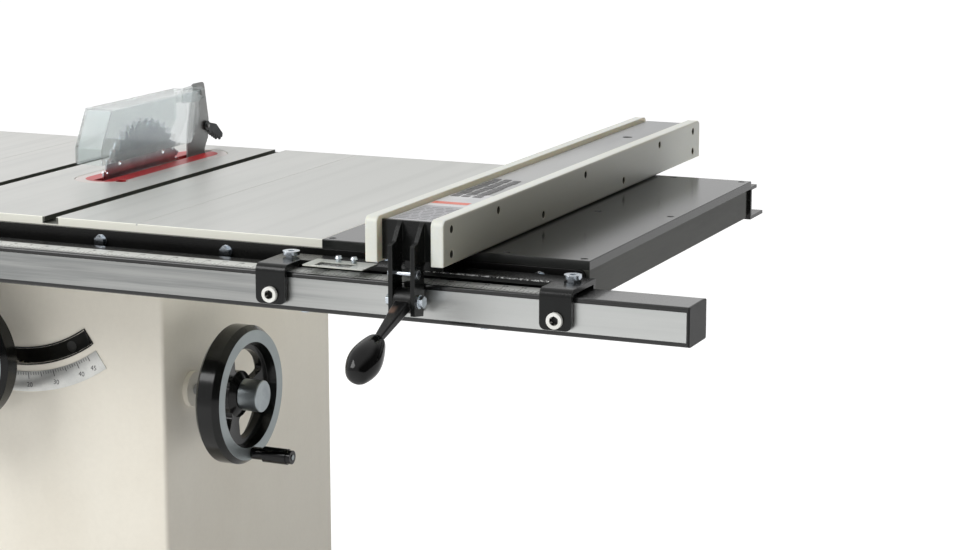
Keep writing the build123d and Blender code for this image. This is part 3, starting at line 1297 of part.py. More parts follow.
with BuildPart() as trunnion_yoke:
    for bar_x, bar_z in TIE_BARS:
        rod(
            (bar_x, FRONT_TRUNNION_Y + TRUNNION_THICK, bar_z), (bar_x, REAR_TRUNNION_Y, bar_z), 12
        )
        rod((bar_x, FRONT_TRUNNION_Y, bar_z), (bar_x, REAR_TRUNNION_Y + TRUNNION_THICK, bar_z), 8)
    for ear_x in (-112, -34):
        prism(
            at_side(ear_x),
            (
                (FRONT_TRUNNION_Y + TRUNNION_THICK, 735),
                (FRONT_TRUNNION_Y + TRUNNION_THICK, 800),
                (ARM_PIVOT_Y, 800),
                (ARM_PIVOT_Y + 24, 785),
                (ARM_PIVOT_Y + 24, 758),
                (ARM_PIVOT_Y - 10, 744),
            ),
            10,
        )
    rod((-112, ARM_PIVOT_Y, ARM_PIVOT_Z), (-24, ARM_PIVOT_Y, ARM_PIVOT_Z), ARM_PIVOT_RADIUS)
trunnion_yoke.part.label = "trunnion_yoke"
export_step(trunnion_yoke.part, "parts/trunnion_yoke.step")

# ---------------------------------------------------------------- arbor arm, motor and blade

with BuildPart() as arbor_arm:
    prism(
        at_side(ARM_MIDDLE_X - ARM_THICK / 2),
        ((-104, 799), (84, 846), (94, 785), (-96, 748)),
        ARM_THICK,
    )
    rod((-98, ARM_PIVOT_Y, ARM_PIVOT_Z), (-38, ARM_PIVOT_Y, ARM_PIVOT_Z), 26)
    rod((-96, BLADE_Y, BLADE_Z), (-18, BLADE_Y, BLADE_Z), ARBOR_HOUSING_RADIUS)
    ring_sector(
        at_side(ARM_MIDDLE_X - 6), (ARM_PIVOT_Y, ARM_PIVOT_Z), 22, HEIGHT_ROOT, -13, 37, 12
    )
    sector_teeth(
        at_side(ARM_MIDDLE_X - 5),
        (ARM_PIVOT_Y, ARM_PIVOT_Z),
        HEIGHT_ROOT,
        HEIGHT_TIP,
        360 / HEIGHT_TEETH_PER_TURN,
        -10,
        34,
        10,
    )
    block((MOUNT_RIGHT, -40, 690), (ARM_MIDDLE_X, -5, 780))
    rod(
        (-98, ARM_PIVOT_Y, ARM_PIVOT_Z),
        (-38, ARM_PIVOT_Y, ARM_PIVOT_Z),
        ARM_PIVOT_RADIUS + RUNNING_GAP,
        Mode.SUBTRACT,
    )
    rod((-96, BLADE_Y, BLADE_Z), (-18, BLADE_Y, BLADE_Z), 16, Mode.SUBTRACT)
    for seat_x in (-96, -18 - BEARING_WIDTH):
        rod(
            (seat_x, BLADE_Y, BLADE_Z),
            (seat_x + BEARING_WIDTH, BLADE_Y, BLADE_Z),
            BEARING_OUTER,
            Mode.SUBTRACT,
        )
arbor_arm.part.label = "arbor_arm"
export_step(arbor_arm.part, "parts/arbor_arm.step")

with BuildPart() as arbor_bearings:
    for seat_x in (-96, -18 - BEARING_WIDTH):
        rod((seat_x, BLADE_Y, BLADE_Z), (seat_x + BEARING_WIDTH, BLADE_Y, BLADE_Z), BEARING_OUTER)
        rod(
            (seat_x, BLADE_Y, BLADE_Z),
            (seat_x + BEARING_WIDTH, BLADE_Y, BLADE_Z),
            BEARING_INNER + RUNNING_GAP,
            Mode.SUBTRACT,
        )
arbor_bearings.part.label = "arbor_bearings"
export_step(arbor_bearings.part, "parts/arbor_bearings.step")


def grooved_pulley(centre_y, centre_z, radius):
    """Add a pulley with one square groove for each belt."""
    rod((PULLEY_LEFT, centre_y, centre_z), (PULLEY_RIGHT, centre_y, centre_z), radius)
    middle_x = (PULLEY_LEFT + PULLEY_RIGHT) / 2
    for number in range(BELT_COUNT):
        groove_x = middle_x + (number - 1) * BELT_PITCH
        low = groove_x - BELT_WIDTH / 2 - 0.3
        high = groove_x + BELT_WIDTH / 2 + 0.3
        with Locations(Plane(origin=(low, centre_y, centre_z), z_dir=(1, 0, 0))):
            Cylinder(
                radius + 1, high - low, align=(Align.CENTER, Align.CENTER, Align.MIN), mode=Mode.SUBTRACT
            )
            Cylinder(radius - GROOVE_DEPTH, high - low, align=(Align.CENTER, Align.CENTER, Align.MIN))


with BuildPart() as arbor_shaft:
    grooved_pulley(BLADE_Y, BLADE_Z, ARBOR_PULLEY_RADIUS)
    rod((PULLEY_RIGHT, BLADE_Y, BLADE_Z), (-14, BLADE_Y, BLADE_Z), BEARING_INNER)
    rod((-14, BLADE_Y, BLADE_Z), (-BLADE_PLATE / 2, BLADE_Y, BLADE_Z), 35)
    rod((-BLADE_PLATE / 2, BLADE_Y, BLADE_Z), (20, BLADE_Y, BLADE_Z), ARBOR_RADIUS)
arbor_shaft.part.label = "arbor_shaft"
export_step(arbor_shaft.part, "parts/arbor_shaft.step")

with BuildPart() as arbor_nut:
    rod((BLADE_PLATE / 2, BLADE_Y, BLADE_Z), (7, BLADE_Y, BLADE_Z), 22)
    hexagon_rod((7, BLADE_Y, BLADE_Z), (16, BLADE_Y, BLADE_Z), 27)
    rod((BLADE_PLATE / 2, BLADE_Y, BLADE_Z), (16, BLADE_Y, BLADE_Z), ARBOR_RADIUS + 0.02, Mode.SUBTRACT)
arbor_nut.part.label = "arbor_nut"
export_step(arbor_nut.part, "parts/arbor_nut.step")

with BuildPart() as blade:
    tooth_turn = 2 * math.pi / BLADE_TEETH
    outline_points = []
    for tooth in range(BLADE_TEETH):
        for radius, turn in (
            (BLADE_RADIUS - 1.5, 0.0),
            (BLADE_RADIUS - 3.5, 0.3),
            (BLADE_RADIUS - 7.0, 0.72),
            (BLADE_RADIUS - 13.0, 0.80),
            (BLADE_RADIUS - 13.0, 0.94),
        ):
            angle = (tooth + turn) * tooth_turn
            outline_points.append(
                (BLADE_Y + radius * math.cos(angle), BLADE_Z + radius * math.sin(angle))
            )
    prism(at_side(-BLADE_PLATE / 2), outline_points, BLADE_PLATE)
    for tooth in range(BLADE_TEETH):
        corners = []
        for radius, turn in (
            (BLADE_RADIUS - 8.0, -0.09),
            (BLADE_RADIUS, -0.03),
            (BLADE_RADIUS - 0.4, 0.13),
            (BLADE_RADIUS - 8.0, 0.04),
        ):
            angle = (tooth + turn) * tooth_turn
            corners.append((BLADE_Y + radius * math.cos(angle), BLADE_Z + radius * math.sin(angle)))
        prism(at_side(-BLADE_KERF / 2), corners, BLADE_KERF)
    for slot in range(4):
        angle = math.radians(45 + 90 * slot)
        spot_y = BLADE_Y + 92 * math.cos(angle)
        spot_z = BLADE_Z + 92 * math.sin(angle)
        rod((-BLADE_PLATE, spot_y, spot_z), (BLADE_PLATE, spot_y, spot_z), 4, Mode.SUBTRACT)
    rod(
        (-BLADE_PLATE, BLADE_Y, BLADE_Z),
        (BLADE_PLATE, BLADE_Y, BLADE_Z),
        ARBOR_RADIUS + 0.02,
        Mode.SUBTRACT,
    )
blade.part.label = "blade"
export_step(blade.part, "parts/blade.step")

with BuildPart() as motor:
    rod((MOTOR_LEFT + 30, MOTOR_Y, MOTOR_Z), (MOTOR_RIGHT - 18, MOTOR_Y, MOTOR_Z), MOTOR_RADIUS)
    rod((MOTOR_LEFT, MOTOR_Y, MOTOR_Z), (MOTOR_LEFT + 30, MOTOR_Y, MOTOR_Z), MOTOR_RADIUS - 6)
    rod((MOTOR_RIGHT - 18, MOTOR_Y, MOTOR_Z), (MOTOR_RIGHT, MOTOR_Y, MOTOR_Z), MOTOR_RADIUS - 14)
    rod(
        (MOTOR_RIGHT - 30, MOTOR_Y, MOTOR_Z),
        (MOTOR_RIGHT, MOTOR_Y, MOTOR_Z),
        MOTOR_SHAFT_RADIUS + RUNNING_GAP,
        Mode.SUBTRACT,
    )
motor.part.label = "motor"
export_step(motor.part, "parts/motor.step")

with BuildPart() as motor_mount:
    prism(
        at_side(MOUNT_LEFT),
        ((-40, 690), (-40, 750), (-5, 750), (105, 665), (110, 590), (60, 560), (10, 585)),
        MOUNT_THICK,
    )
    rod((MOUNT_LEFT, MOTOR_Y, MOTOR_Z), (MOUNT_RIGHT, MOTOR_Y, MOTOR_Z), 16, Mode.SUBTRACT)
motor_mount.part.label = "motor_mount"
export_step(motor_mount.part, "parts/motor_mount.step")

with BuildPart() as motor_rotor:
    grooved_pulley(MOTOR_Y, MOTOR_Z, MOTOR_PULLEY_RADIUS)
    rod((MOTOR_RIGHT - 26, MOTOR_Y, MOTOR_Z), (PULLEY_LEFT, MOTOR_Y, MOTOR_Z), MOTOR_SHAFT_RADIUS)
motor_rotor.part.label = "motor_rotor"
export_step(motor_rotor.part, "parts/motor_rotor.step")


def belt_loop(belt_x, grow, mode=Mode.ADD):
    """Extrude the hull around both pulleys, at a height above the groove floors."""
    with BuildSketch(at_side(belt_x - BELT_WIDTH / 2)) as hull:
        with Locations((BLADE_Y, BLADE_Z)):
            Circle(ARBOR_PULLEY_RADIUS - GROOVE_DEPTH + grow)
        with Locations((MOTOR_Y, MOTOR_Z)):
            Circle(MOTOR_PULLEY_RADIUS - GROOVE_DEPTH + grow)
        make_hull()
    extrude(hull.sketch, amount=BELT_WIDTH, mode=mode)


with BuildPart() as drive_belts:
    for number in range(BELT_COUNT):
        belt_x = (PULLEY_LEFT + PULLEY_RIGHT) / 2 + (number - 1) * BELT_PITCH
        belt_loop(belt_x, 8.0)
        belt_loop(belt_x, 0.3, Mode.SUBTRACT)
drive_belts.part.label = "drive_belts"
export_step(drive_belts.part, "parts/drive_belts.step")

# ---------------------------------------------------------------- splitter, pawls and guard

SPLITTER_HALF = 1.15
PAWL_Y = 292.0
PAWL_Z = 905.0
GUARD_HINGE_Y = 270.0
GUARD_HINGE_Z = 962.0
GUARD_HALF = 24.0
GUARD_WALL = 3.0

with BuildPart() as splitter:
    prism(
        at_side(-SPLITTER_HALF),
        (
            (240, 782),
            (285, 782),
            (288, 868),
            (300, 885),
            (303, 915),
            (290, 978),
            (252, 978),
            (233, 900),
            (231, 830),
        ),
        2 * SPLITTER_HALF,
    )
    fillet(splitter.edges().filter_by(Axis.X).group_by(Axis.Z)[-1], 8)
    block((10, REAR_TRUNNION_Y - 8, 735), (32, REAR_TRUNNION_Y, 798))
    block((3, REAR_TRUNNION_Y - 8, 782), (14, 288, 798))
    block((SPLITTER_HALF, 238, 782), (3, 288, 798))
    for pin_y, pin_z, pin_radius, reach in (
        (PAWL_Y, PAWL_Z, 3.0, 8.0),
        (GUARD_HINGE_Y, GUARD_HINGE_Z, 4.0, 10.0),
    ):
        rod((-reach, pin_y, pin_z), (reach, pin_y, pin_z), pin_radius)
splitter.part.label = "splitter"
export_step(splitter.part, "parts/splitter.step")

PAWL_SERRATIONS = 6
PAWL_OUTLINE = [(284, 905), (288, 912), (321, 904), (341.5, 885.5), (339.5, 879)]
for serration in range(PAWL_SERRATIONS):
    PAWL_OUTLINE.append((336 - serration * 6, 880.5 + serration * 3))
    PAWL_OUTLINE.append((333 - serration * 6, 876 + serration * 3))

with BuildPart() as pawl_left:
    prism(at_side(-5.5), PAWL_OUTLINE, 4)
    rod((-5.5, PAWL_Y, PAWL_Z), (-1.5, PAWL_Y, PAWL_Z), 8)
    rod((-5.5, PAWL_Y, PAWL_Z), (-1.5, PAWL_Y, PAWL_Z), 3.06, Mode.SUBTRACT)
pawl_left.part.label = "pawl_left"
export_step(pawl_left.part, "parts/pawl_left.step")

with BuildPart() as pawl_right:
    prism(at_side(1.5), PAWL_OUTLINE, 4)
    rod((1.5, PAWL_Y, PAWL_Z), (5.5, PAWL_Y, PAWL_Z), 8)
    rod((1.5, PAWL_Y, PAWL_Z), (5.5, PAWL_Y, PAWL_Z), 3.06, Mode.SUBTRACT)
pawl_right.part.label = "pawl_right"
export_step(pawl_right.part, "parts/pawl_right.step")

with BuildPart() as blade_guard:
    prism(
        at_side(-GUARD_HALF),
        ((-62, 890), (-62, 915), (-30, 972), (236, 972), (236, 925), (205, 890)),
        2 * GUARD_HALF,
    )
    prism(
        at_side(-GUARD_HALF + GUARD_WALL),
        ((-59, 890), (-59, 914), (-28, 969), (236, 969), (236, 925), (205, 890)),
        2 * (GUARD_HALF - GUARD_WALL),
        Mode.SUBTRACT,
    )
    for arm_x in (-7, 4):
        prism(
            at_side(arm_x),
            ((210, 972), (210, 952), (262, 950), (280, 954), (280, 970), (262, 974)),
            3,
        )
    rod((-7, GUARD_HINGE_Y, GUARD_HINGE_Z), (7, GUARD_HINGE_Y, GUARD_HINGE_Z), 4.06, Mode.SUBTRACT)
blade_guard.part.label = "blade_guard"
export_step(blade_guard.part, "parts/blade_guard.step")

# ---------------------------------------------------------------- handwheels and worm shafts

TILT_WHEEL_PLANE = Plane(
    origin=(TILT_WHEEL_X, TILT_SHAFT_Y, TILT_SHAFT_Z), x_dir=(0, 1, 0), z_dir=(1, 0, 0)
)
HEIGHT_WHEEL_PLANE = Plane(
    origin=(HEIGHT_SHAFT_X, HEIGHT_WHEEL_Y, HEIGHT_SHAFT_Z), x_dir=(1, 0, 0), z_dir=(0, -1, 0)
)
CRANK_ANGLE = math.radians(270)
CRANK_REACH = 66.0


def on_wheel(plane, across, up, out):
    """A point given by its place on a handwheel's front face."""
    return tuple(plane.from_local_coords(Vector(across, up, out)))


def crank_spot(plane, out):
    """A point on the crank handle's axis."""
    across = CRANK_RADIUS * math.cos(CRANK_ANGLE)
    up = CRANK_RADIUS * math.sin(CRANK_ANGLE)
    return on_wheel(plane, across, up, out)


with BuildPart() as tilt_handwheel:
    handwheel(TILT_WHEEL_PLANE)
    rod(crank_spot(TILT_WHEEL_PLANE, -10), crank_spot(TILT_WHEEL_PLANE, CRANK_REACH), 4)
tilt_handwheel.part.label = "tilt_handwheel"
export_step(tilt_handwheel.part, "parts/tilt_handwheel.step")

with BuildPart() as height_handwheel:
    handwheel(HEIGHT_WHEEL_PLANE)
    rod(crank_spot(HEIGHT_WHEEL_PLANE, -10), crank_spot(HEIGHT_WHEEL_PLANE, CRANK_REACH), 4)
height_handwheel.part.label = "height_handwheel"
export_step(height_handwheel.part, "parts/height_handwheel.step")


def lock_disc(plane):
    """Add a round lock knob in front of a handwheel's hub."""
    rod(on_wheel(plane, 0, 0, -11.5), on_wheel(plane, 0, 0, 19), LOCK_DISC_RADIUS)


def crank_sleeve(plane):
    """Add a turned crank handle around its bolt."""
    rod(crank_spot(plane, 1), crank_spot(plane, 20), 9)
    rod(crank_spot(plane, 20), crank_spot(plane, 58), 11.5)
    rod(crank_spot(plane, 58), crank_spot(plane, CRANK_REACH - 1), 10)
    rod(crank_spot(plane, 1), crank_spot(plane, CRANK_REACH - 1), 4.06, Mode.SUBTRACT)


with BuildPart() as tilt_lock_knob:
    lock_disc(TILT_WHEEL_PLANE)
    chamfer(tilt_lock_knob.edges().filter_by(GeomType.CIRCLE), 1)
tilt_lock_knob.part.label = "tilt_lock_knob"
export_step(tilt_lock_knob.part, "parts/tilt_lock_knob.step")

with BuildPart() as height_lock_knob:
    lock_disc(HEIGHT_WHEEL_PLANE)
    chamfer(height_lock_knob.edges().filter_by(GeomType.CIRCLE), 1)
height_lock_knob.part.label = "height_lock_knob"
export_step(height_lock_knob.part, "parts/height_lock_knob.step")

with BuildPart() as tilt_crank_handle:
    crank_sleeve(TILT_WHEEL_PLANE)
tilt_crank_handle.part.label = "tilt_crank_handle"
export_step(tilt_crank_handle.part, "parts/tilt_crank_handle.step")

with BuildPart() as height_crank_handle:
    crank_sleeve(HEIGHT_WHEEL_PLANE)
height_crank_handle.part.label = "height_crank_handle"
export_step(height_crank_handle.part, "parts/height_crank_handle.step")

with BuildPart() as tilt_shaft:
    rod((-80, TILT_SHAFT_Y, TILT_SHAFT_Z), (TILT_WHEEL_X - 12, TILT_SHAFT_Y, TILT_SHAFT_Z), SHAFT_RADIUS)
    rod((-36, TILT_SHAFT_Y, TILT_SHAFT_Z), (36, TILT_SHAFT_Y, TILT_SHAFT_Z), WORM_CORE)
    add(
        worm_thread(
            Plane(origin=(0, TILT_SHAFT_Y, TILT_SHAFT_Z), x_dir=(0, 0, 1), z_dir=(1, 0, 0)),
            TILT_PITCH,
            False,
        )
    )
tilt_shaft.part.label = "tilt_shaft"
export_step(tilt_shaft.part, "parts/tilt_shaft.step")

with BuildPart() as height_shaft:
    rod(
        (HEIGHT_SHAFT_X, HEIGHT_WHEEL_Y + 12, HEIGHT_SHAFT_Z),
        (HEIGHT_SHAFT_X, ARM_PIVOT_Y + 34, HEIGHT_SHAFT_Z),
        SHAFT_RADIUS,
    )
    rod(
        (HEIGHT_SHAFT_X, ARM_PIVOT_Y - 34, HEIGHT_SHAFT_Z),
        (HEIGHT_SHAFT_X, ARM_PIVOT_Y + 34, HEIGHT_SHAFT_Z),
        WORM_CORE,
    )
    add(
        worm_thread(
            Plane(
                origin=(HEIGHT_SHAFT_X, ARM_PIVOT_Y, HEIGHT_SHAFT_Z), x_dir=(0, 0, 1), z_dir=(0, 1, 0)
            ),
            HEIGHT_PITCH,
            True,
        )
    )
height_shaft.part.label = "height_shaft"
export_step(height_shaft.part, "parts/height_shaft.step")

with BuildPart() as tilt_pointer:
    pointer_across = HEIGHT_SHAFT_X / HEIGHT_SHAFT_RADIUS_FROM_TILT
    pointer_down = HEIGHT_SHAFT_DROP / HEIGHT_SHAFT_RADIUS_FROM_TILT
    tip_x = HEIGHT_SHAFT_X + pointer_across * 34
    tip_z = HEIGHT_SHAFT_Z - pointer_down * 34
    rod((HEIGHT_SHAFT_X, -289, HEIGHT_SHAFT_Z), (HEIGHT_SHAFT_X, -282, HEIGHT_SHAFT_Z), 15)
    prism(
        at_depth(-282),
        (
            (HEIGHT_SHAFT_X - pointer_down * 7, HEIGHT_SHAFT_Z + pointer_across * 7),
            (HEIGHT_SHAFT_X + pointer_down * 7, HEIGHT_SHAFT_Z - pointer_across * 7),
            (tip_x, tip_z),
        ),
        2,
    )
    rod(
        (HEIGHT_SHAFT_X, -289, HEIGHT_SHAFT_Z),
        (HEIGHT_SHAFT_X, -282, HEIGHT_SHAFT_Z),
        SHAFT_RADIUS + RUNNING_GAP,
        Mode.SUBTRACT,
    )
tilt_pointer.part.label = "tilt_pointer"
export_step(tilt_pointer.part, "parts/tilt_pointer.step")
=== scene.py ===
import math
import random

import bmesh
import bpy
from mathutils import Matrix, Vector


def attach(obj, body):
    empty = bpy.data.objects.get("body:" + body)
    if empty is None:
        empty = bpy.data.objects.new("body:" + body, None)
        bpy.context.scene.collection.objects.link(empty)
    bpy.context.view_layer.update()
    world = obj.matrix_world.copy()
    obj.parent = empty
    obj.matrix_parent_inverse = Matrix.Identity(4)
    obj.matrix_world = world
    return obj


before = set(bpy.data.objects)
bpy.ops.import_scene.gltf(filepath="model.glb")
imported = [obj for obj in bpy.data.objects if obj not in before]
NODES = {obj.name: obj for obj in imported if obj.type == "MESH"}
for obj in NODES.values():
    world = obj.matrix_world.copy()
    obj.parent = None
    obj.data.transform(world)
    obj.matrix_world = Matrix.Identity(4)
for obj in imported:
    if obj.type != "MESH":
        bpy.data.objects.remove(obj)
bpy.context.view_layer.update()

# ---- places on the saw, in metres

TABLE_TOP = 0.864  # also the height of the axis that the blade tilts about
WING_JOINT = (0.2526, 0.2554)  # the seam between the table and each wing, either side of the blade plane
MITRE_SLOT = (0.1000, 0.1260)  # inner and outer wall of each mitre slot
INSERT_MIDDLE = (0.007, 0.115)
INSERT_STRAIGHT = 0.134  # half of the insert's straight length
INSERT_RED_RADIUS = 0.0348
TAPE_FRONT_Y = -0.436
INCH = 0.0254
ADJUSTERS_X = (0.5206, 0.9218)
ADJUSTERS_Z = 0.808
SOCKET_RADIUS = 0.0056
BOARDS_FACING = (0.6800, 0.7620)  # the fence boards' facing sides
RECESS_LOW, RECESS_HIGH = (-0.4600, 0.8700), (0.5350, 0.9200)  # the stretch of board with screw recesses
RECESSES_X = ((0.6663, 0.6760), (0.7660, 0.7757))
SHAFT_ARC = 0.225  # the height shaft's distance from the tilt axis
SHAFT_X = -0.057
CABINET_FRONT_Y = -0.2780
TILT_WHEEL = (0.3515, -0.202, 0.5965)
HEIGHT_WHEEL = (SHAFT_X, -0.369, TABLE_TOP - math.sqrt(SHAFT_ARC ** 2 - SHAFT_X ** 2))
WHEEL_RING = (0.0768, 0.0948)  # inner and outer radius of the bare ring on a handwheel

# ---- node material helpers

def shade(r, g, b):
    """An sRGB colour given as 0 to 255, turned into the linear colour that Blender wants."""
    linear = []
    for channel in (r, g, b):
        c = channel / 255
        linear.append(c / 12.92 if c <= 0.04045 else ((c + 0.055) / 1.055) ** 2.4)
    return (*linear, 1.0)


def put(tree, kind, inputs=None, **settings):
    """Add a shader node. Each input is a value or another node's output socket."""
    node = tree.nodes.new("ShaderNode" + kind)
    for key, value in settings.items():
        setattr(node, key, value)
    for key, value in (inputs or {}).items():
        if isinstance(value, bpy.types.NodeSocket):
            tree.links.new(value, node.inputs[key])
        else:
            node.inputs[key].default_value = value
    return node


def calc(tree, operation, a, b=0.0, c=0.0, clamp=False):
    node = put(tree, "Math", {0: a, 1: b, 2: c}, operation=operation)
    node.use_clamp = clamp
    return node.outputs[0]


def ramp(tree, value, low, high):
    """0 below low, 1 above high, smooth in between."""
    limits = {0: value, 1: low, 2: high, 3: 0.0, 4: 1.0}
    node = put(tree, "MapRange", limits, interpolation_type="SMOOTHSTEP")
    return node.outputs[0]


def blend_colour(tree, factor, a, b):
    node = put(tree, "Mix", {0: factor, 6: a, 7: b}, data_type="RGBA")
    return node.outputs[2]


def blend_value(tree, factor, a, b):
    node = put(tree, "Mix", {0: factor, 2: a, 3: b}, data_type="FLOAT")
    return node.outputs[0]


def stretched(tree, place, size, detail=4.0, rough=0.55):
    """Noise whose grain is longest along the axis with the smallest number in size; one number is for all."""
    if not isinstance(size, tuple):
        size = (size, size, size)
    mapped = put(tree, "Mapping", {"Vector": place, "Scale": size})
    inputs = {"Vector": mapped.outputs[0], "Scale": 1.0, "Detail": detail, "Roughness": rough}
    return put(tree, "TexNoise", inputs).outputs[0]


def distance(tree, a, b):
    """The length of the vector (a, b)."""
    squares = calc(tree, "ADD", calc(tree, "MULTIPLY", a, a), calc(tree, "MULTIPLY", b, b))
    return calc(tree, "SQRT", squares)


def inside_box(tree, axes, low, high, soft=0.0004):
    """1 inside a box, 0 outside it, with a slightly soft edge."""
    result = 1.0
    for axis, lo, hi in zip(axes, low, high):
        if lo is not None:
            result = calc(tree, "MULTIPLY", result, ramp(tree, axis, lo - soft, lo + soft))
        if hi is not None:
            over = ramp(tree, axis, hi - soft, hi + soft)
            result = calc(tree, "MULTIPLY", result, calc(tree, "SUBTRACT", 1.0, over))
    return result


def surface(
    name,
    colour,
    other,
    rough=0.4,
    metal=0.0,
    patch=6,
    grain=300,
    grain_colour=0.15,
    grain_rough=0.15,
    bump=0.15,
    edge=None,
    edge_amount=0.6,
    round_edge=0.0006,
    coat=0.0,
    layers=(),
    anisotropic=0.0,
    subsurface=0.0,
    transmission=0.0,
    alpha=1.0,
    speckle=0.0,
    specular=0.5,
):
    """A procedural finish: colour patches, directional grain, worn edges, rounded edges and relief.

    patch and grain are noise sizes, one for all axes or one each for X, Y and Z.
    A layer gives its mask, colour, roughness and metal.
    """
    material = bpy.data.materials.new(name)
    material.use_nodes = True
    tree = material.node_tree
    tree.nodes.clear()
    place = put(tree, "TexCoord").outputs["Object"]
    axes = put(tree, "SeparateXYZ", {0: place}).outputs
    geometry = put(tree, "NewGeometry")
    facing = put(tree, "VectorTransform", {0: geometry.outputs["True Normal"]}, vector_type="NORMAL",
                 convert_from="WORLD", convert_to="OBJECT")
    normal = put(tree, "SeparateXYZ", {0: facing.outputs[0]}).outputs

    broad = stretched(tree, place, patch, 5.0, 0.6)
    fine = stretched(tree, place, grain, 3.0, 0.5)
    base = blend_colour(tree, ramp(tree, broad, 0.35, 0.68), colour, other)
    darken = calc(tree, "MULTIPLY_ADD", fine, 2 * grain_colour, 1 - grain_colour)
    shaded = put(tree, "Mix", {0: 1.0, 6: base, 7: darken}, data_type="RGBA", blend_type="MULTIPLY")
    base = shaded.outputs[2]
    roughness = calc(tree, "MULTIPLY_ADD", fine, grain_rough, rough - grain_rough / 2)
    lowered = calc(tree, "SUBTRACT", roughness, grain_rough / 4)
    roughness = calc(tree, "MULTIPLY_ADD", broad, grain_rough / 2, lowered)
    metallic = calc(tree, "ADD", metal, 0.0)
    relief = fine
    if speckle:
        grit = put(tree, "TexVoronoi", {"Vector": place, "Scale": 900.0}).outputs[0]
        relief = calc(tree, "MULTIPLY_ADD", grit, speckle, fine)
    for layer in layers:
        mask, tone, layer_rough, layer_metal = layer(tree, axes, normal, place, broad, fine)
        base = blend_colour(tree, mask, base, tone)
        if layer_rough is not None:
            roughness = blend_value(tree, mask, roughness, layer_rough)
        if layer_metal is not None:
            metallic = blend_value(tree, mask, metallic, layer_metal)

    bevel = put(tree, "Bevel", {"Radius": round_edge}, samples=4)
    if edge is not None:
        wide = put(tree, "Bevel", {"Radius": round_edge * 2.2}, samples=4)
        pair = {0: wide.outputs[0], 1: geometry.outputs["Normal"]}
        flat = put(tree, "VectorMath", pair, operation="DOT_PRODUCT")
        turned = calc(tree, "SUBTRACT", 1.0, flat.outputs["Value"])
        wear = calc(tree, "MULTIPLY", ramp(tree, turned, 0.02, 0.22), ramp(tree, broad, 0.38, 0.6))
        wear = calc(tree, "MULTIPLY", wear, edge_amount, clamp=True)
        base = blend_colour(tree, wear, base, edge)
    lift = {"Strength": bump, "Distance": 0.0004, "Height": relief, "Normal": bevel.outputs[0]}
    raised = put(tree, "Bump", lift)
    inputs = {
        "Base Color": base,
        "Roughness": calc(tree, "MAXIMUM", roughness, 0.03, clamp=True),
        "Metallic": metallic,
        "Normal": raised.outputs[0],
        "Coat Weight": coat,
        "Coat Roughness": 0.06,
        "Specular IOR Level": specular,
        "Alpha": alpha,
    }
    if anisotropic:
        inputs["Anisotropic"] = anisotropic
    if subsurface:
        inputs["Subsurface Weight"] = subsurface
        inputs["Subsurface Radius"] = (0.010, 0.008, 0.005)
        inputs["Subsurface Scale"] = 1.0
    if transmission:
        inputs["Transmission Weight"] = transmission
        inputs["IOR"] = 1.25
    shader = put(tree, "BsdfPrincipled", inputs)
    end = put(tree, "OutputMaterial")
    tree.links.new(shader.outputs[0], end.inputs[0])
    return material


# ---- layers used by some finishes

def cream_sides(tree, axes, normal, place, broad, fine):
    """A casting is painted cream, except on its ground top and in the seam beside each wing."""
    up = ramp(tree, normal[2], 0.75, 0.95)
    side = calc(tree, "SUBTRACT", 1.0, up)
    across = calc(tree, "ABSOLUTE", axes[0])
    low, high = (WING_JOINT[0], TABLE_TOP - 0.002), (WING_JOINT[1], None)
    seam = inside_box(tree, (across, axes[2]), low, high, 0.0002)
    side = calc(tree, "MULTIPLY", side, calc(tree, "SUBTRACT", 1.0, seam))
    tone = blend_colour(tree, broad, shade(253, 253, 243), shade(245, 244, 230))
    return side, tone, 0.42, 0.0


def slot_walls(tree, axes, normal, place, broad, fine):
    """The bare machined walls of the two mitre slots."""
    across = calc(tree, "ABSOLUTE", axes[0])
    low, high = (MITRE_SLOT[0], TABLE_TOP - 0.010), (MITRE_SLOT[1], TABLE_TOP - 0.0003)
    mask = inside_box(tree, (across, axes[2]), low, high, 0.0002)
    tone = blend_colour(tree, fine, shade(74, 77, 70), shade(120, 122, 112))
    return mask, tone, 0.5, 0.6


def grinding_lines(tree, axes, normal, place, broad, fine):
    """Faint lengthwise bands left by surface grinding."""
    bands = stretched(tree, place, (38, 0.35, 1), 2.0, 0.5)
    return (
        calc(tree, "MULTIPLY", ramp(tree, bands, 0.48, 0.7), 0.3),
        shade(176, 177, 173),
        None,
        None,
    )


def machined_ring(centre, axis, front):
    """The bare turned ring on a handwheel's face.

    centre is a point on its shaft, and front is 1 or -1, the way that the face looks along the axis.
    """
    spread = [i for i in range(3) if i != axis]

    def layer(tree, axes, normal, place, broad, fine):
        a = calc(tree, "SUBTRACT", axes[spread[0]], centre[spread[0]])
        b = calc(tree, "SUBTRACT", axes[spread[1]], centre[spread[1]])
        radius = distance(tree, a, b)
        mask = inside_box(tree, (radius,), WHEEL_RING[:1], WHEEL_RING[1:], 0.0002)
        towards = calc(tree, "MULTIPLY", normal[axis], float(front))
        mask = calc(tree, "MULTIPLY", mask, ramp(tree, towards, 0.9, 0.97))
        turning_marks = calc(tree, "SINE", calc(tree, "MULTIPLY", radius, 9000.0))
        mixed = calc(tree, "MULTIPLY_ADD", turning_marks, 0.2, broad)
        tone = blend_colour(tree, mixed, shade(138, 146, 147), shade(170, 177, 178))
        return mask, tone, 0.42, 0.75

    return layer


def dark_socket(tree, axes, normal, place, broad, fine):
    """Painted shade: a dark disc at the socket in the middle of each white adjuster."""
    mask = 0.0
    for x in ADJUSTERS_X:
        a = calc(tree, "SUBTRACT", axes[0], x)
        b = calc(tree, "SUBTRACT", axes[2], ADJUSTERS_Z)
        outside = ramp(tree, distance(tree, a, b), SOCKET_RADIUS, SOCKET_RADIUS + 0.0006)
        mask = calc(tree, "MAXIMUM", mask, calc(tree, "SUBTRACT", 1.0, outside))
    return mask, shade(14, 14, 14), 0.4, 0.0


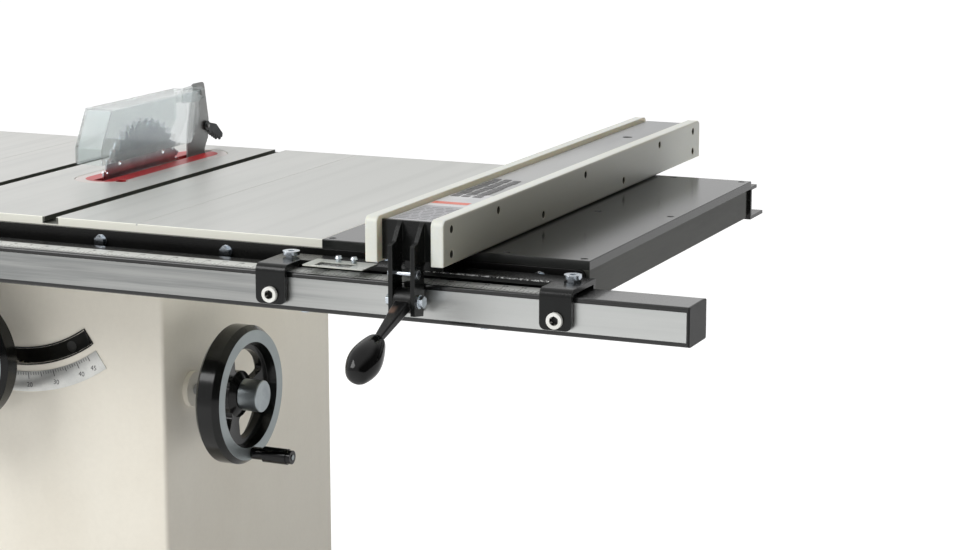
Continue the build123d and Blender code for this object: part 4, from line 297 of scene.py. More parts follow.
def pale_rim(tree, axes, normal, place, broad, fine):
    """Painted reflection: a pale pinkish tone on the insert outside its red centre, for the bright
    surroundings mirrored in the red paint.
    """
    along = calc(tree, "ABSOLUTE", calc(tree, "SUBTRACT", axes[1], INSERT_MIDDLE[1]))
    beyond = calc(tree, "MAXIMUM", calc(tree, "SUBTRACT", along, INSERT_STRAIGHT), 0.0)
    across = calc(tree, "SUBTRACT", axes[0], INSERT_MIDDLE[0])
    mask = ramp(tree, distance(tree, across, beyond), INSERT_RED_RADIUS, INSERT_RED_RADIUS + 0.0008)
    tone = blend_colour(tree, fine, shade(226, 214, 210), shade(205, 200, 196))
    return mask, tone, 0.35, 0.3


def tape_marks(tree, axes, normal, place, broad, fine):
    """Ruled ticks along the scale tape: long at each inch, shorter at the parts of an inch."""
    mask = 0.0
    depth = calc(tree, "SUBTRACT", axes[1], TAPE_FRONT_Y)
    ticks = ((INCH, 0.00075, 0.0150), (INCH / 4, 0.0006, 0.0100), (INCH / 16, 0.0004, 0.0055))
    for step, width, reach in ticks:
        cycle = calc(tree, "PINGPONG", axes[0], step / 2)
        line = calc(tree, "SUBTRACT", 1.0, ramp(tree, cycle, width / 2, width))
        short = calc(tree, "SUBTRACT", 1.0, ramp(tree, depth, reach - 0.0002, reach + 0.0002))
        mask = calc(tree, "MAXIMUM", mask, calc(tree, "MULTIPLY", line, short))
    return mask, shade(20, 20, 20), 0.5, 0.0


def outer_board_tone(tree, axes, normal, place, broad, fine):
    """Painted shade: a greyer tone on the right board's outer face, strongest at the front, where that face
    gets the least light.
    """
    right_board = ramp(tree, axes[0], BOARDS_FACING[1] - 0.002, BOARDS_FACING[1] + 0.002)
    outer = calc(tree, "MULTIPLY", ramp(tree, normal[0], 0.5, 0.9), right_board)
    nearer = calc(tree, "MULTIPLY_ADD", ramp(tree, axes[1], -0.25, 0.50), -0.75, 1.0)
    tone = blend_colour(tree, broad, shade(160, 159, 146), shade(149, 148, 135))
    return calc(tree, "MULTIPLY", outer, nearer), tone, 0.4, 0.0


def strip_tone(tree, axes, normal, place, broad, fine):
    """Painted reflection: a lighter tone towards the wear strip's right end."""
    mask = calc(tree, "MULTIPLY", ramp(tree, axes[0], 0.42, 0.85), 0.75)
    return mask, shade(208, 210, 208), None, None


def dark_recesses(tree, axes, normal, place, broad, fine):
    """Painted shade: the stepped screw holes in the boards are coloured black inside."""
    mask = 0.0
    for inner, outer in RECESSES_X:
        board = inside_box(tree, axes, (inner, *RECESS_LOW), (outer, *RECESS_HIGH), 0.0001)
        mask = calc(tree, "MAXIMUM", mask, board)
    return mask, shade(15, 15, 14), 0.6, 0.0


def inner_board_tone(tree, axes, normal, place, broad, fine):
    """Painted light: a warmer, lighter tone where the boards face each other, standing in for light coming
    through the boards.
    """
    between = inside_box(tree, (axes[0],), BOARDS_FACING[:1], BOARDS_FACING[1:], 0.0004)
    inward = ramp(tree, calc(tree, "ABSOLUTE", normal[0]), 0.5, 0.9)
    return calc(tree, "MULTIPLY", between, inward), shade(252, 244, 222), 0.4, 0.0


def worn_lever(tree, axes, normal, place, broad, fine):
    """A rubbed brown patch on the lever beside its pivot."""
    mask = inside_box(tree, axes, (0.7130, -0.5060, 0.7960), (0.7250, -0.4900, 0.8160), 0.003)
    mask = calc(tree, "MULTIPLY", mask, ramp(tree, normal[1], -0.2, -0.5))
    return mask, shade(118, 92, 78), 0.45, 0.2


def faint_grain(tree, axes, normal, place, broad, fine):
    """The extension's edge boards have a faint grain under the paint."""
    wood = stretched(tree, place, (30, 1.2, 220), 5.0, 0.65)
    return calc(tree, "MULTIPLY", ramp(tree, wood, 0.45, 0.75), 0.45), shade(48, 50, 46), 0.42, 0.0


def settled_dust(tree, axes, normal, place, broad, fine):
    """Dust on upward faces below the table."""
    up = ramp(tree, normal[2], 0.6, 0.95)
    low = calc(tree, "SUBTRACT", 1.0, ramp(tree, axes[2], 0.70, 0.80))
    dust = calc(tree, "MULTIPLY", calc(tree, "MULTIPLY", up, low), ramp(tree, broad, 0.4, 0.7))
    return calc(tree, "MULTIPLY", dust, 0.5), shade(186, 160, 122), 0.8, 0.0


WHEEL_GLOSS = dict(
    colour=shade(16, 17, 16), other=shade(9, 10, 9), rough=0.15, patch=20, grain=240,
    grain_colour=0.2, grain_rough=0.08, bump=0.08, edge=shade(60, 60, 57), edge_amount=0.3,
    round_edge=0.0012, specular=0.3,
)
LOOKS = {
    "table_iron": dict(
        colour=shade(208, 208, 204), other=shade(196, 197, 193), rough=0.36, metal=0.35, patch=(3, 0.8, 3),
        grain=(900, 14, 900), grain_colour=0.05, grain_rough=0.12, bump=0.04, edge=shade(240, 240, 238),
        edge_amount=0.5, layers=(grinding_lines, cream_sides, slot_walls)),
    "raw_iron": dict(
        colour=shade(96, 98, 96), other=shade(72, 74, 73), rough=0.55, metal=0.35, patch=14, grain=420,
        grain_colour=0.2, grain_rough=0.2, bump=0.45, edge=shade(170, 170, 168), edge_amount=0.8,
        round_edge=0.001, speckle=0.6, layers=(settled_dust,)),
    "zinc_steel": dict(
        colour=shade(212, 219, 226), other=shade(184, 193, 202), rough=0.2, metal=1.0, patch=60, grain=700,
        grain_colour=0.12, grain_rough=0.2, bump=0.12, edge=shade(240, 240, 236), edge_amount=0.7,
        round_edge=0.0004),
    "red_paint": dict(
        colour=shade(196, 26, 30), other=shade(170, 16, 22), rough=0.34, patch=20, grain=500,
        grain_colour=0.08, grain_rough=0.12, bump=0.12, edge=shade(225, 120, 110), edge_amount=0.5),
    "insert_red": dict(
        colour=shade(200, 24, 30), other=shade(178, 16, 24), rough=0.36, patch=20, grain=500,
        grain_colour=0.08, grain_rough=0.12, bump=0.1, edge=shade(230, 150, 140), edge_amount=0.5,
        layers=(pale_rim,)),
    "black_laminate": dict(
        colour=shade(38, 40, 38), other=shade(26, 27, 26), rough=0.16, patch=(5, 2, 5), grain=700,
        grain_colour=0.2, grain_rough=0.08, bump=0.06, edge=shade(90, 92, 88), edge_amount=0.4,
        round_edge=0.0008, specular=0.42),
    "grey_paint": dict(
        colour=shade(66, 67, 62), other=shade(54, 55, 51), rough=0.45, patch=(4, 1.5, 12),
        grain=(500, 40, 900), grain_colour=0.18, edge=shade(100, 102, 95), edge_amount=0.4,
        round_edge=0.0008, layers=(faint_grain,), specular=0.25),
    "black_steel": dict(
        colour=shade(24, 24, 24), other=shade(14, 14, 14), rough=0.42, metal=0.3, patch=80, grain=800,
        grain_colour=0.2, grain_rough=0.2, bump=0.2, edge=shade(120, 120, 118), round_edge=0.0004),
    "black_paint": dict(
        colour=shade(24, 24, 23), other=shade(16, 16, 16), rough=0.24, patch=9, grain=380, grain_colour=0.2,
        grain_rough=0.12, bump=0.12, edge=shade(80, 80, 77), edge_amount=0.35, round_edge=0.0010,
        specular=0.32),
    "bracket_paint": dict(
        colour=shade(14, 16, 15), other=shade(8, 9, 9), rough=0.24, patch=24, grain=420, grain_colour=0.25,
        grain_rough=0.16, bump=0.25, edge=shade(110, 112, 108), edge_amount=0.25, round_edge=0.0010,
        specular=0.3, speckle=0.25),
    "black_plastic": dict(
        colour=shade(24, 24, 24), other=shade(17, 17, 17), rough=0.42, patch=20, grain=900, grain_colour=0.2,
        bump=0.35, edge=shade(54, 54, 52), edge_amount=0.3, round_edge=0.0012, speckle=0.5, specular=0.25),
    "brushed_steel": dict(
        colour=shade(168, 169, 167), other=shade(142, 144, 143), rough=0.34, metal=1.0, patch=(2.6, 40, 90),
        grain=(6, 600, 1100), grain_colour=0.2, grain_rough=0.18, bump=0.16, edge=shade(200, 200, 198),
        edge_amount=0.4, round_edge=0.0003, anisotropic=0.5, layers=(strip_tone,)),
    "tape_steel": dict(
        colour=shade(230, 231, 227), other=shade(214, 216, 212), rough=0.3, metal=0.45, patch=(7, 40, 7),
        grain=(12, 900, 900), grain_colour=0.14, bump=0.06, edge=shade(230, 230, 226), edge_amount=0.4,
        round_edge=0.0003, layers=(tape_marks,)),
    "cursor_steel": dict(
        colour=shade(188, 191, 184), other=shade(166, 170, 162), rough=0.3, metal=0.85, patch=30,
        grain=(40, 900, 900), grain_colour=0.14, grain_rough=0.18, bump=0.08, edge=shade(235, 232, 222),
        edge_amount=0.7, round_edge=0.0005),
    "white_board": dict(
        colour=shade(226, 228, 221), other=shade(218, 220, 211), rough=0.34, patch=(4, 1.4, 4),
        grain=(260, 30, 260), grain_colour=0.04, grain_rough=0.14, bump=0.05, edge=shade(206, 197, 168),
        edge_amount=0.5, round_edge=0.0030, subsurface=0.25,
        layers=(outer_board_tone, inner_board_tone, dark_recesses)),
    # Painted shade: near-black for the screws sitting deep in the boards' recesses.
    "screw_painted_shade": dict(
        colour=shade(14, 14, 14), other=shade(8, 8, 8), rough=0.7, patch=80, grain=800, grain_colour=0.2,
        bump=0.2, edge=shade(40, 40, 40), edge_amount=0.4, round_edge=0.0003),
    "white_ring": dict(
        colour=shade(240, 240, 236), other=shade(228, 228, 222), rough=0.3, patch=60, grain=700,
        grain_colour=0.05, grain_rough=0.1, bump=0.06, edge=shade(210, 206, 190), edge_amount=0.4,
        round_edge=0.0010, layers=(dark_socket,)),
    "grey_steel": dict(
        colour=shade(160, 161, 160), other=shade(140, 142, 142), metal=0.75, patch=(9, 3, 9),
        grain=(900, 60, 900), grain_colour=0.12, grain_rough=0.16, bump=0.08, edge=shade(205, 205, 202),
        edge_amount=0.5, layers=(settled_dust,)),
    "tube_steel": dict(
        colour=shade(174, 175, 174), other=shade(154, 155, 156), rough=0.34, metal=0.55, patch=(8, 1.5, 8),
        grain=(900, 60, 900), grain_colour=0.1, grain_rough=0.16, bump=0.06, edge=shade(205, 205, 202),
        edge_amount=0.5, round_edge=0.0008),
    "black_gloss": dict(
        colour=shade(6, 6, 6), other=shade(4, 4, 4), rough=0.07, patch=20, grain_colour=0.2,
        grain_rough=0.05, bump=0.04, edge=shade(30, 30, 30), edge_amount=0.2, round_edge=0.0012,
        specular=0.3),
    "tilt_wheel_gloss": dict(WHEEL_GLOSS, layers=(machined_ring(TILT_WHEEL, 0, 1),)),
    "height_wheel_gloss": dict(WHEEL_GLOSS, layers=(machined_ring(HEIGHT_WHEEL, 1, -1),)),
    "lever_paint": dict(
        colour=shade(20, 20, 20), other=shade(11, 11, 11), rough=0.3, patch=40, grain=420, grain_colour=0.2,
        grain_rough=0.16, bump=0.25, edge=shade(80, 76, 70), edge_amount=0.4, round_edge=0.0012,
        specular=0.3, layers=(worn_lever,)),
    "cabinet_paint": dict(
        colour=shade(234, 229, 216), other=shade(227, 221, 207), rough=0.42, patch=(3, 3, 2), grain=160,
        grain_colour=0.03, grain_rough=0.12, bump=0.16, edge=shade(228, 222, 212), edge_amount=0.4,
        round_edge=0.0016, layers=(settled_dust,)),
    "green_plastic": dict(
        colour=shade(34, 150, 72), other=shade(24, 128, 60), rough=0.3, patch=40, grain=600,
        grain_colour=0.1, grain_rough=0.12, bump=0.1, edge=shade(120, 200, 140), edge_amount=0.4,
        round_edge=0.0010, coat=0.3),
    "red_plastic": dict(
        colour=shade(204, 22, 24), other=shade(184, 14, 18), rough=0.3, patch=40, grain=600,
        grain_colour=0.1, grain_rough=0.12, bump=0.12, edge=shade(235, 110, 100), edge_amount=0.4,
        round_edge=0.0012, coat=0.3),
    "bright_steel": dict(
        colour=shade(204, 206, 210), other=shade(176, 180, 186), rough=0.24, metal=1.0, patch=30, grain=700,
        grain_colour=0.12, grain_rough=0.16, bump=0.1, edge=shade(245, 245, 245)),
    "rail_paint": dict(
        colour=shade(26, 27, 26), other=shade(18, 19, 18), rough=0.2, patch=9, grain=380, grain_colour=0.2,
        grain_rough=0.1, bump=0.08, edge=shade(80, 80, 77), edge_amount=0.3, round_edge=0.0010, coat=0.35,
        specular=0.4),
    "knob_steel": dict(
        colour=shade(160, 167, 169), other=shade(142, 149, 152), rough=0.34, metal=0.95, patch=30, grain=700,
        grain_colour=0.14, grain_rough=0.16, bump=0.14, edge=shade(225, 228, 228), round_edge=0.0008),
    "motor_paint": dict(
        colour=shade(70, 72, 74), other=shade(54, 56, 58), rough=0.42, metal=0.1, patch=16, grain_colour=0.2,
        grain_rough=0.16, bump=0.3, edge=shade(130, 130, 128), round_edge=0.0012, layers=(settled_dust,),
        speckle=0.3),
    "belt_rubber": dict(
        colour=shade(34, 34, 34), other=shade(22, 22, 22), rough=0.72, patch=60, grain=900, grain_colour=0.3,
        grain_rough=0.16, bump=0.5, edge=shade(80, 76, 70), edge_amount=0.5, round_edge=0.0008, speckle=0.7),
    "dark_steel": dict(
        colour=shade(62, 64, 66), other=shade(44, 46, 48), rough=0.38, metal=0.6, patch=40, grain=600,
        grain_colour=0.2, grain_rough=0.2, bump=0.2, edge=shade(130, 130, 130), edge_amount=0.5,
        round_edge=0.0005),
    "clear_guard": dict(
        colour=shade(238, 246, 246), other=shade(226, 238, 238), rough=0.08, patch=12, grain=160,
        grain_colour=0.04, grain_rough=0.06, bump=0.03, edge=shade(250, 252, 252), round_edge=0.0010,
        transmission=0.92, alpha=0.55),
    "label_white": dict(
        colour=shade(206, 206, 207), other=shade(190, 191, 193), rough=0.3, patch=20, grain=400,
        grain_colour=0.05, grain_rough=0.1, bump=0.04, edge=shade(240, 240, 240), edge_amount=0.3,
        round_edge=0.0003),
    "label_grey": dict(
        colour=shade(158, 158, 162), other=shade(144, 145, 150), rough=0.32, patch=30, grain=(400, 90, 400),
        grain_colour=0.1, grain_rough=0.1, bump=0.04, edge=shade(200, 200, 200), edge_amount=0.3,
        round_edge=0.0003),
    "label_orange": dict(
        colour=shade(226, 84, 36), other=shade(212, 70, 28), rough=0.3, patch=30, grain=400,
        grain_colour=0.06, grain_rough=0.1, bump=0.04, edge=shade(240, 160, 120), edge_amount=0.3,
        round_edge=0.0003),
    "label_dark": dict(
        colour=shade(42, 42, 44), other=shade(58, 58, 60), rough=0.34, patch=60, grain=400,
        grain_colour=0.12, grain_rough=0.1, bump=0.05, edge=shade(90, 90, 90), edge_amount=0.3,
        round_edge=0.0002),
    "cut_edge": dict(
        colour=shade(30, 31, 30), other=shade(220, 222, 220), rough=0.22, metal=0.85, patch=260, grain=1200,
        grain_colour=0.5, grain_rough=0.3, bump=0.6, edge=shade(245, 245, 245), edge_amount=0.9,
        round_edge=0.0003, speckle=1.0),
    "window": dict(
        colour=shade(236, 240, 238), other=shade(226, 232, 230), rough=0.06, patch=30, grain_colour=0.04,
        grain_rough=0.05, bump=0.02, edge=shade(250, 250, 250), edge_amount=0.5, round_edge=0.0005,
        transmission=0.95, alpha=0.35),
    "cable_rubber": dict(
        colour=shade(30, 30, 31), other=shade(20, 20, 20), rough=0.5, patch=50, grain=700, grain_colour=0.2,
        bump=0.3, edge=shade(60, 60, 60), edge_amount=0.3, speckle=0.3),
    "scale_plate": dict(
        colour=shade(206, 206, 202), other=shade(190, 191, 188), rough=0.34, metal=0.7, patch=30,
        grain=(500, 30, 500), grain_colour=0.1, grain_rough=0.14, bump=0.06, edge=shade(230, 230, 228),
        edge_amount=0.5, round_edge=0.0004),
}
FINISH = {name: surface(name, **look) for name, look in LOOKS.items()}

PAINTED = {
    "table_iron": ("main_table", "right_wing", "left_wing"),
    "raw_iron": ("trunnion_brackets", "front_trunnion", "rear_trunnion", "arbor_arm"),
    "zinc_steel": ("table_bolts", "carriage_screws", "lock_pins", "arbor_nut"),
    "insert_red": ("table_insert",),
    "red_paint": ("tilt_pointer",),
    "black_laminate": ("extension_top",),
    "grey_paint": ("extension_frame",),
    "black_steel": ("extension_screws",),
    "screw_painted_shade": ("face_screws",),
    "black_paint": ("front_rail_angle", "rear_rail", "cabinet_base"),
    "rail_paint": ("rail_tube",),
    "knob_steel": ("tilt_lock_knob", "height_lock_knob"),
    "bracket_paint": ("fence_carriage", "lock_bracket"),
    "lever_paint": ("lock_lever",),
    "black_plastic": ("rail_end_caps", "cam_shoe", "switch_box"),
    "brushed_steel": ("rail_wear_strip",),
    "tape_steel": ("scale_tape",),
    "cursor_steel": ("cursor_plate",),
    "white_board": ("fence_face_left", "fence_face_right", "rear_glide"),
    "white_ring": ("fence_adjusters",),
    "tube_steel": ("fence_tube",),
    "grey_steel": ("trunnion_yoke", "motor_mount", "motor_rotor", "splitter"),
    "tilt_wheel_gloss": ("tilt_handwheel",),
    "height_wheel_gloss": ("height_handwheel",),
    "black_gloss": ("lock_knob", "tilt_crank_handle", "height_crank_handle"),
    "cabinet_paint": ("cabinet", "motor_door"),
    "green_plastic": ("start_button",),
    "red_plastic": ("stop_paddle",),
    "bright_steel": (
        "arbor_bearings", "arbor_shaft", "blade", "tilt_shaft", "height_shaft",
    ),
    "motor_paint": ("motor",),
    "belt_rubber": ("drive_belts",),
    "dark_steel": ("pawl_left", "pawl_right"),
    "clear_guard": ("blade_guard",),
}
for finish, names in PAINTED.items():
    for node_name in names:
        slots = NODES[node_name].material_slots
        if slots:
            for held in slots:
                held.material = FINISH[finish]
        else:
            NODES[node_name].data.materials.append(FINISH[finish])


# ---- mesh helpers

def piece(name, points, faces, body, finish, smooth=False):
    """A new visible piece, its points given in the row frame, riding on a CAD body."""
    mesh = bpy.data.meshes.new(name)
    mesh.from_pydata([tuple(p) for p in points], [], faces)
    mesh.validate()
    mesh.update()
    work = bmesh.new()
    work.from_mesh(mesh)
    bmesh.ops.recalc_face_normals(work, faces=work.faces)
    work.to_mesh(mesh)
    work.free()
    if smooth:
        mesh.shade_smooth()
        mesh.set_sharp_from_angle(angle=math.radians(35))
    obj = bpy.data.objects.new(name, mesh)
    bpy.context.scene.collection.objects.link(obj)
    mesh.materials.append(FINISH[finish])
    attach(obj, body)
    return obj


def ring_strip(rows, closed=True):
    """Faces joining rows of points, each row a closed loop of the same length.

    The last row joins the first if closed, and both ends are capped if not.
    """
    count = len(rows[0])
    faces = []
    for r in range(len(rows) - 1):
        for k in range(count):
            nxt = (k + 1) % count
            faces.append((r * count + k, r * count + nxt, (r + 1) * count + nxt, (r + 1) * count + k))
    if closed:
        last = (len(rows) - 1) * count
        for k in range(count):
            nxt = (k + 1) % count
            faces.append((last + k, last + nxt, nxt, k))
    else:
        faces.append(tuple(range(count)))
        faces.append(tuple((len(rows) - 1) * count + k for k in range(count)))
    return faces


def frame_about(axis):
    """Two directions square to an axis."""
    n = Vector(axis).normalized()
    side = n.orthogonal().normalized()
    return n, side, n.cross(side)


def turned(centre, axis, profile, steps=48):
    """Points and faces of a profile of (distance along the axis, radius) turned about the axis."""
    n, u, v = frame_about(axis)
    rows = []
    for along, radius in profile:
        rows.append(round_section(Vector(centre) + n * along, u, v, radius, steps))
    return [p for row in rows for p in row], ring_strip(rows, closed=False)


def round_section(centre, side, up, radius, steps):
    """A ring of points about a centre, in the plane of two directions."""
    ring = []
    for k in range(steps):
        a = 2 * math.pi * k / steps
        ring.append(centre + (side * math.cos(a) + up * math.sin(a)) * radius)
    return ring


def tube_along(path, radius, steps=16):
    """Points and faces of a round cable along a path."""
    rows = []
    side = None
    for i, p in enumerate(path):
        ahead = (path[min(i + 1, len(path) - 1)] - path[max(i - 1, 0)]).normalized()
        if side is None:
            side = ahead.orthogonal().normalized()
        side = (side - ahead * side.dot(ahead)).normalized()
        rows.append(round_section(p, side, ahead.cross(side), radius, steps))
    return [p for row in rows for p in row], ring_strip(rows, closed=False)


def smooth_path(corners, steps=14):
    """A Catmull-Rom curve through a list of points."""
    pts = [Vector(c) for c in corners]
    pts = [pts[0] * 2 - pts[1]] + pts + [pts[-1] * 2 - pts[-2]]
    path = []
    for i in range(1, len(pts) - 2):
        p0, p1, p2, p3 = pts[i - 1], pts[i], pts[i + 1], pts[i + 2]
        for s in range(steps):
            t = s / steps
            path.append(
                0.5 * (2 * p1 + (p2 - p0) * t + (2 * p0 - 5 * p1 + 4 * p2 - p3) * t * t
                       + (3 * p1 - p0 - 3 * p2 + p3) * t * t * t)
            )
    path.append(pts[-2])
    return path


def plate(low, high, thick, normal_axis, corner=0.002, bevel=0.0003, steps=5):
    """Points and faces of a thin plate with rounded corners and a bevelled front edge."""
    spread = [i for i in range(3) if i != normal_axis]
    lo = [low[i] for i in spread]
    hi = [high[i] for i in spread]
    base = low[normal_axis]

    def loop(inset, height):
        row = []
        r = max(corner - inset, 0.0001)
        for cx, cy, start in (
            (hi[0] - corner, hi[1] - corner, 0),
            (lo[0] + corner, hi[1] - corner, 90),
            (lo[0] + corner, lo[1] + corner, 180),
            (hi[0] - corner, lo[1] + corner, 270),
        ):
            for k in range(steps + 1):
                a = math.radians(start + 90 * k / steps)
                p = [0.0, 0.0, 0.0]
                p[spread[0]] = cx + r * math.cos(a)
                p[spread[1]] = cy + r * math.sin(a)
                p[normal_axis] = base + height
                row.append(Vector(p))
        return row

    step = bevel if thick > 0 else -bevel
    rows = [loop(0, 0), loop(0, thick - step), loop(bevel, thick)]
    return [p for row in rows for p in row], ring_strip(rows, closed=False)


def flat_plate(left, front, right, back, z, thick, corner, bevel, steps=5):
    """A plate lying flat, its underside at height z."""
    return plate((left, front, z), (right, back, z), thick, 2, corner, bevel, steps)


def join(*groups):
    """Several (points, faces) groups as one."""
    points, faces = [], []
    for some_points, some_faces in groups:
        start = len(points)
        points.extend(some_points)
        faces.extend(tuple(i + start for i in f) for f in some_faces)
    return points, faces


def lettering(name, body, finish, items, height, normal, up):
    """Dial numbers as thin raised shapes. Each item is a text and the point at its middle."""
    n = Vector(normal).normalized()
    y = Vector(up).normalized()
    x = y.cross(n)
    groups = []
    for text, centre in items:
        curve = bpy.data.curves.new(name + "_text", "FONT")
        curve.body = text
        curve.size = height * 1.35
        curve.align_x = "CENTER"
        curve.align_y = "CENTER"
        curve.extrude = 0.00012
        holder = bpy.data.objects.new(name + "_text", curve)
        bpy.context.scene.collection.objects.link(holder)
        bpy.context.view_layer.update()
        mesh = holder.evaluated_get(bpy.context.evaluated_depsgraph_get()).to_mesh()
        points = [Vector(centre) + x * p.co.x + y * p.co.y + n * p.co.z for p in mesh.vertices]
        groups.append((points, [tuple(f.vertices) for f in mesh.polygons]))
        holder.to_mesh_clear()
        bpy.data.objects.remove(holder)
        bpy.data.curves.remove(curve)
    points, faces = join(*groups)
    return piece(name, points, faces, body, finish)


# ---- rail, carriage and cursor details

rng = random.Random(7)

# The torn bright edge along the carriage plate's bend.
CUT_LEFT, CUT_RIGHT = 0.7000, 0.8995
CUT_FRONT_Y, CUT_TOP_Z = -0.4062, 0.8474
CUT_COLUMNS, CUT_ROWS = 520, 5
points, faces = [], []
for column in range(CUT_COLUMNS + 1):
    x = CUT_LEFT + (CUT_RIGHT - CUT_LEFT) * column / CUT_COLUMNS
    front = CUT_FRONT_Y - rng.uniform(0.0, 0.0009)
    top = CUT_TOP_Z + rng.uniform(-0.0002, 0.0004)
    shoulder = CUT_TOP_Z - 0.0006 + rng.uniform(-0.0006, 0.0004)
    waist = CUT_TOP_Z - 0.0014 + rng.uniform(-0.0005, 0.0003)
    points.extend((
        Vector((x, CUT_FRONT_Y + 0.0017, CUT_TOP_Z)), Vector((x, CUT_FRONT_Y + 0.0009, top)),
        Vector((x, front, shoulder)), Vector((x, front + 0.0002, waist)),
        Vector((x, CUT_FRONT_Y + 0.0007, CUT_TOP_Z - 0.0022)),
    ))
for column in range(CUT_COLUMNS):
    for row in range(CUT_ROWS - 1):
        a = column * CUT_ROWS + row
        faces.append((a, a + 1, a + CUT_ROWS + 1, a + CUT_ROWS))
piece("carriage_cut_edge", points, faces, "fence", "cut_edge")

# Painted shade: thin black crosses laid on the cursor's two screw heads for their cross recesses.
CURSOR_SCREWS_X, CURSOR_SCREWS_Y, CURSOR_SCREW_TOP = (0.5965, 0.619), -0.402, 0.85595
CROSS_LONG, CROSS_SHORT = 0.0032, 0.0007
groups = []
for x in CURSOR_SCREWS_X:
    for across, along in ((CROSS_LONG, CROSS_SHORT), (CROSS_SHORT, CROSS_LONG)):
        groups.append(flat_plate(
            x - across, CURSOR_SCREWS_Y - along, x + across, CURSOR_SCREWS_Y + along, CURSOR_SCREW_TOP,
            0.0004, 0.0003, 0.0001, 2,
        ))
points, faces = join(*groups)
piece("cursor_screw_painted_shade", points, faces, "fence", "black_steel")

points, faces = flat_plate(0.5745, -0.4372, 0.6305, -0.4098, 0.8464, 0.0009, 0.0015, 0.0003)
piece("cursor_window", points, faces, "fence", "window", True)
points, faces = flat_plate(0.60235, -0.4360, 0.60265, -0.4105, 0.8462, 0.00015, 0.0001, 0.00005, 2)
piece("cursor_hairline", points, faces, "fence", "red_paint")

TAPE_TOP, TAPE_NUMBERS_Y, TAPE_INCHES = 0.8371, -0.4125, 35
numbers = [(str(inch), (INCH * inch, TAPE_NUMBERS_Y, TAPE_TOP)) for inch in range(1, TAPE_INCHES + 1)]
lettering("tape_numbers", "stand", "label_dark", numbers, 0.0062, (0, 0, 1), (0, 1, 0))

# The front label on the fence, with plain bars and blocks where print would be.
LABEL_TOP = 0.9190
ON_LABEL = LABEL_TOP + 0.0003
ON_PANEL = LABEL_TOP + 0.0004
points, faces = flat_plate(0.6880, -0.4435, 0.7530, -0.2350, LABEL_TOP, 0.0003, 0.002, 0.0001)
piece("fence_label", points, faces, "fence", "label_white", True)
points, faces = flat_plate(0.6905, -0.4380, 0.7510, -0.3330, ON_LABEL, 0.0001, 0.001, 0.00005)
piece("fence_label_panel", points, faces, "fence", "label_grey", True)
points, faces = flat_plate(0.6895, -0.3150, 0.7420, -0.2990, ON_LABEL, 0.0001, 0.001, 0.00005)
piece("fence_label_band", points, faces, "fence", "label_orange", True)

BAR_LEFT, BAR_STOP, BAR_RIGHT = 0.6935, 0.7440, 0.7480
BAR_ROWS, BAR_FRONT_Y, BAR_PITCH, BAR_WIDTH = 9, -0.4330, 0.0105, 0.0022
groups = []
for row in range(BAR_ROWS):
    y = BAR_FRONT_Y + row * BAR_PITCH
    x = BAR_LEFT
    while x < BAR_STOP:
        length = rng.uniform(0.006, 0.016)
        end_x = min(x + length, BAR_RIGHT)
        groups.append(flat_plate(x, y, end_x, y + BAR_WIDTH, ON_PANEL, 0.00008, 0.0004, 0.00003, 2))
        x += length + rng.uniform(0.002, 0.004)
points, faces = join(*groups)
piece("fence_label_fine_bars", points, faces, "fence", "label_dark")

BLOCK_LEFT, BLOCK_ROWS, BLOCK_PITCH = 0.6905, 3, 0.0160
BLOCK_FRONT_Y, BLOCK_STOP_Y, BLOCK_BACK_Y = -0.2560, -0.1060, -0.0980
groups = []
for row in range(BLOCK_ROWS):
    x = BLOCK_LEFT + row * BLOCK_PITCH
    y = BLOCK_FRONT_Y
    while y < BLOCK_STOP_Y:
        length = rng.uniform(0.007, 0.017)
        width = rng.uniform(0.0105, 0.0135)
        end_y = min(y + length, BLOCK_BACK_Y)
        groups.append(flat_plate(x, y, x + width, end_y, ON_LABEL, 0.0002, 0.002, 0.00008, 4))
        y += length + rng.uniform(0.0015, 0.0045)
points, faces = join(*groups)
piece("fence_label_blocks", points, faces, "fence", "label_dark", True)

# ---- tilt scale on the cabinet front

REST_ANGLE = math.degrees(math.asin(SHAFT_X / SHAFT_ARC))  # the height shaft's place with the blade upright
FULL_TILT = 45


def on_arc(radius, angle, y):
    """A point at an angle from straight down about the tilt centre, positive to the right."""
    a = math.radians(angle)
    return Vector((radius * math.sin(a), y, TABLE_TOP - radius * math.cos(a)))


def arc_plate(inner, outer, low, high, y, thick, steps=64):
    """Points and faces of a curved plate between two radii and two angles, its back face at y."""
    rows = []
    for i in range(steps + 1):
        angle = low + (high - low) * i / steps
        rows.append([
            on_arc(inner, angle, y), on_arc(inner, angle, y - thick),
            on_arc(inner + 0.0004, angle, y - thick - 0.0002),
            on_arc(outer - 0.0004, angle, y - thick - 0.0002),
            on_arc(outer, angle, y - thick), on_arc(outer, angle, y),
        ])
    return [p for row in rows for p in row], ring_strip(rows, closed=False)


points, faces = arc_plate(
    0.2480, 0.2780, REST_ANGLE - 4, REST_ANGLE + FULL_TILT + 4, CABINET_FRONT_Y, 0.0008,
)
piece("tilt_scale", points, faces, "stand", "scale_plate", True)
groups = []
for degree in range(FULL_TILT + 1):
    long = 0.0100 if degree % 10 == 0 else 0.0075 if degree % 5 == 0 else 0.0045
    half = 0.07 if degree % 5 else 0.11
    angle = REST_ANGLE + degree
    face = CABINET_FRONT_Y - 0.00095
    groups.append(arc_plate(0.2490, 0.2490 + long, angle - half, angle + half, face, 0.00012, 2))
points, faces = join(*groups)
piece("tilt_scale_marks", points, faces, "stand", "label_dark")
SHOWN_DEGREES = (0, 10, 20, 30, 40, FULL_TILT)
digits = [(str(d), on_arc(0.2680, REST_ANGLE + d, CABINET_FRONT_Y - 0.0010)) for d in SHOWN_DEGREES]
lettering("tilt_scale_numbers", "stand", "label_dark", digits, 0.0075, (0, -1, 0), (0, 0, 1))

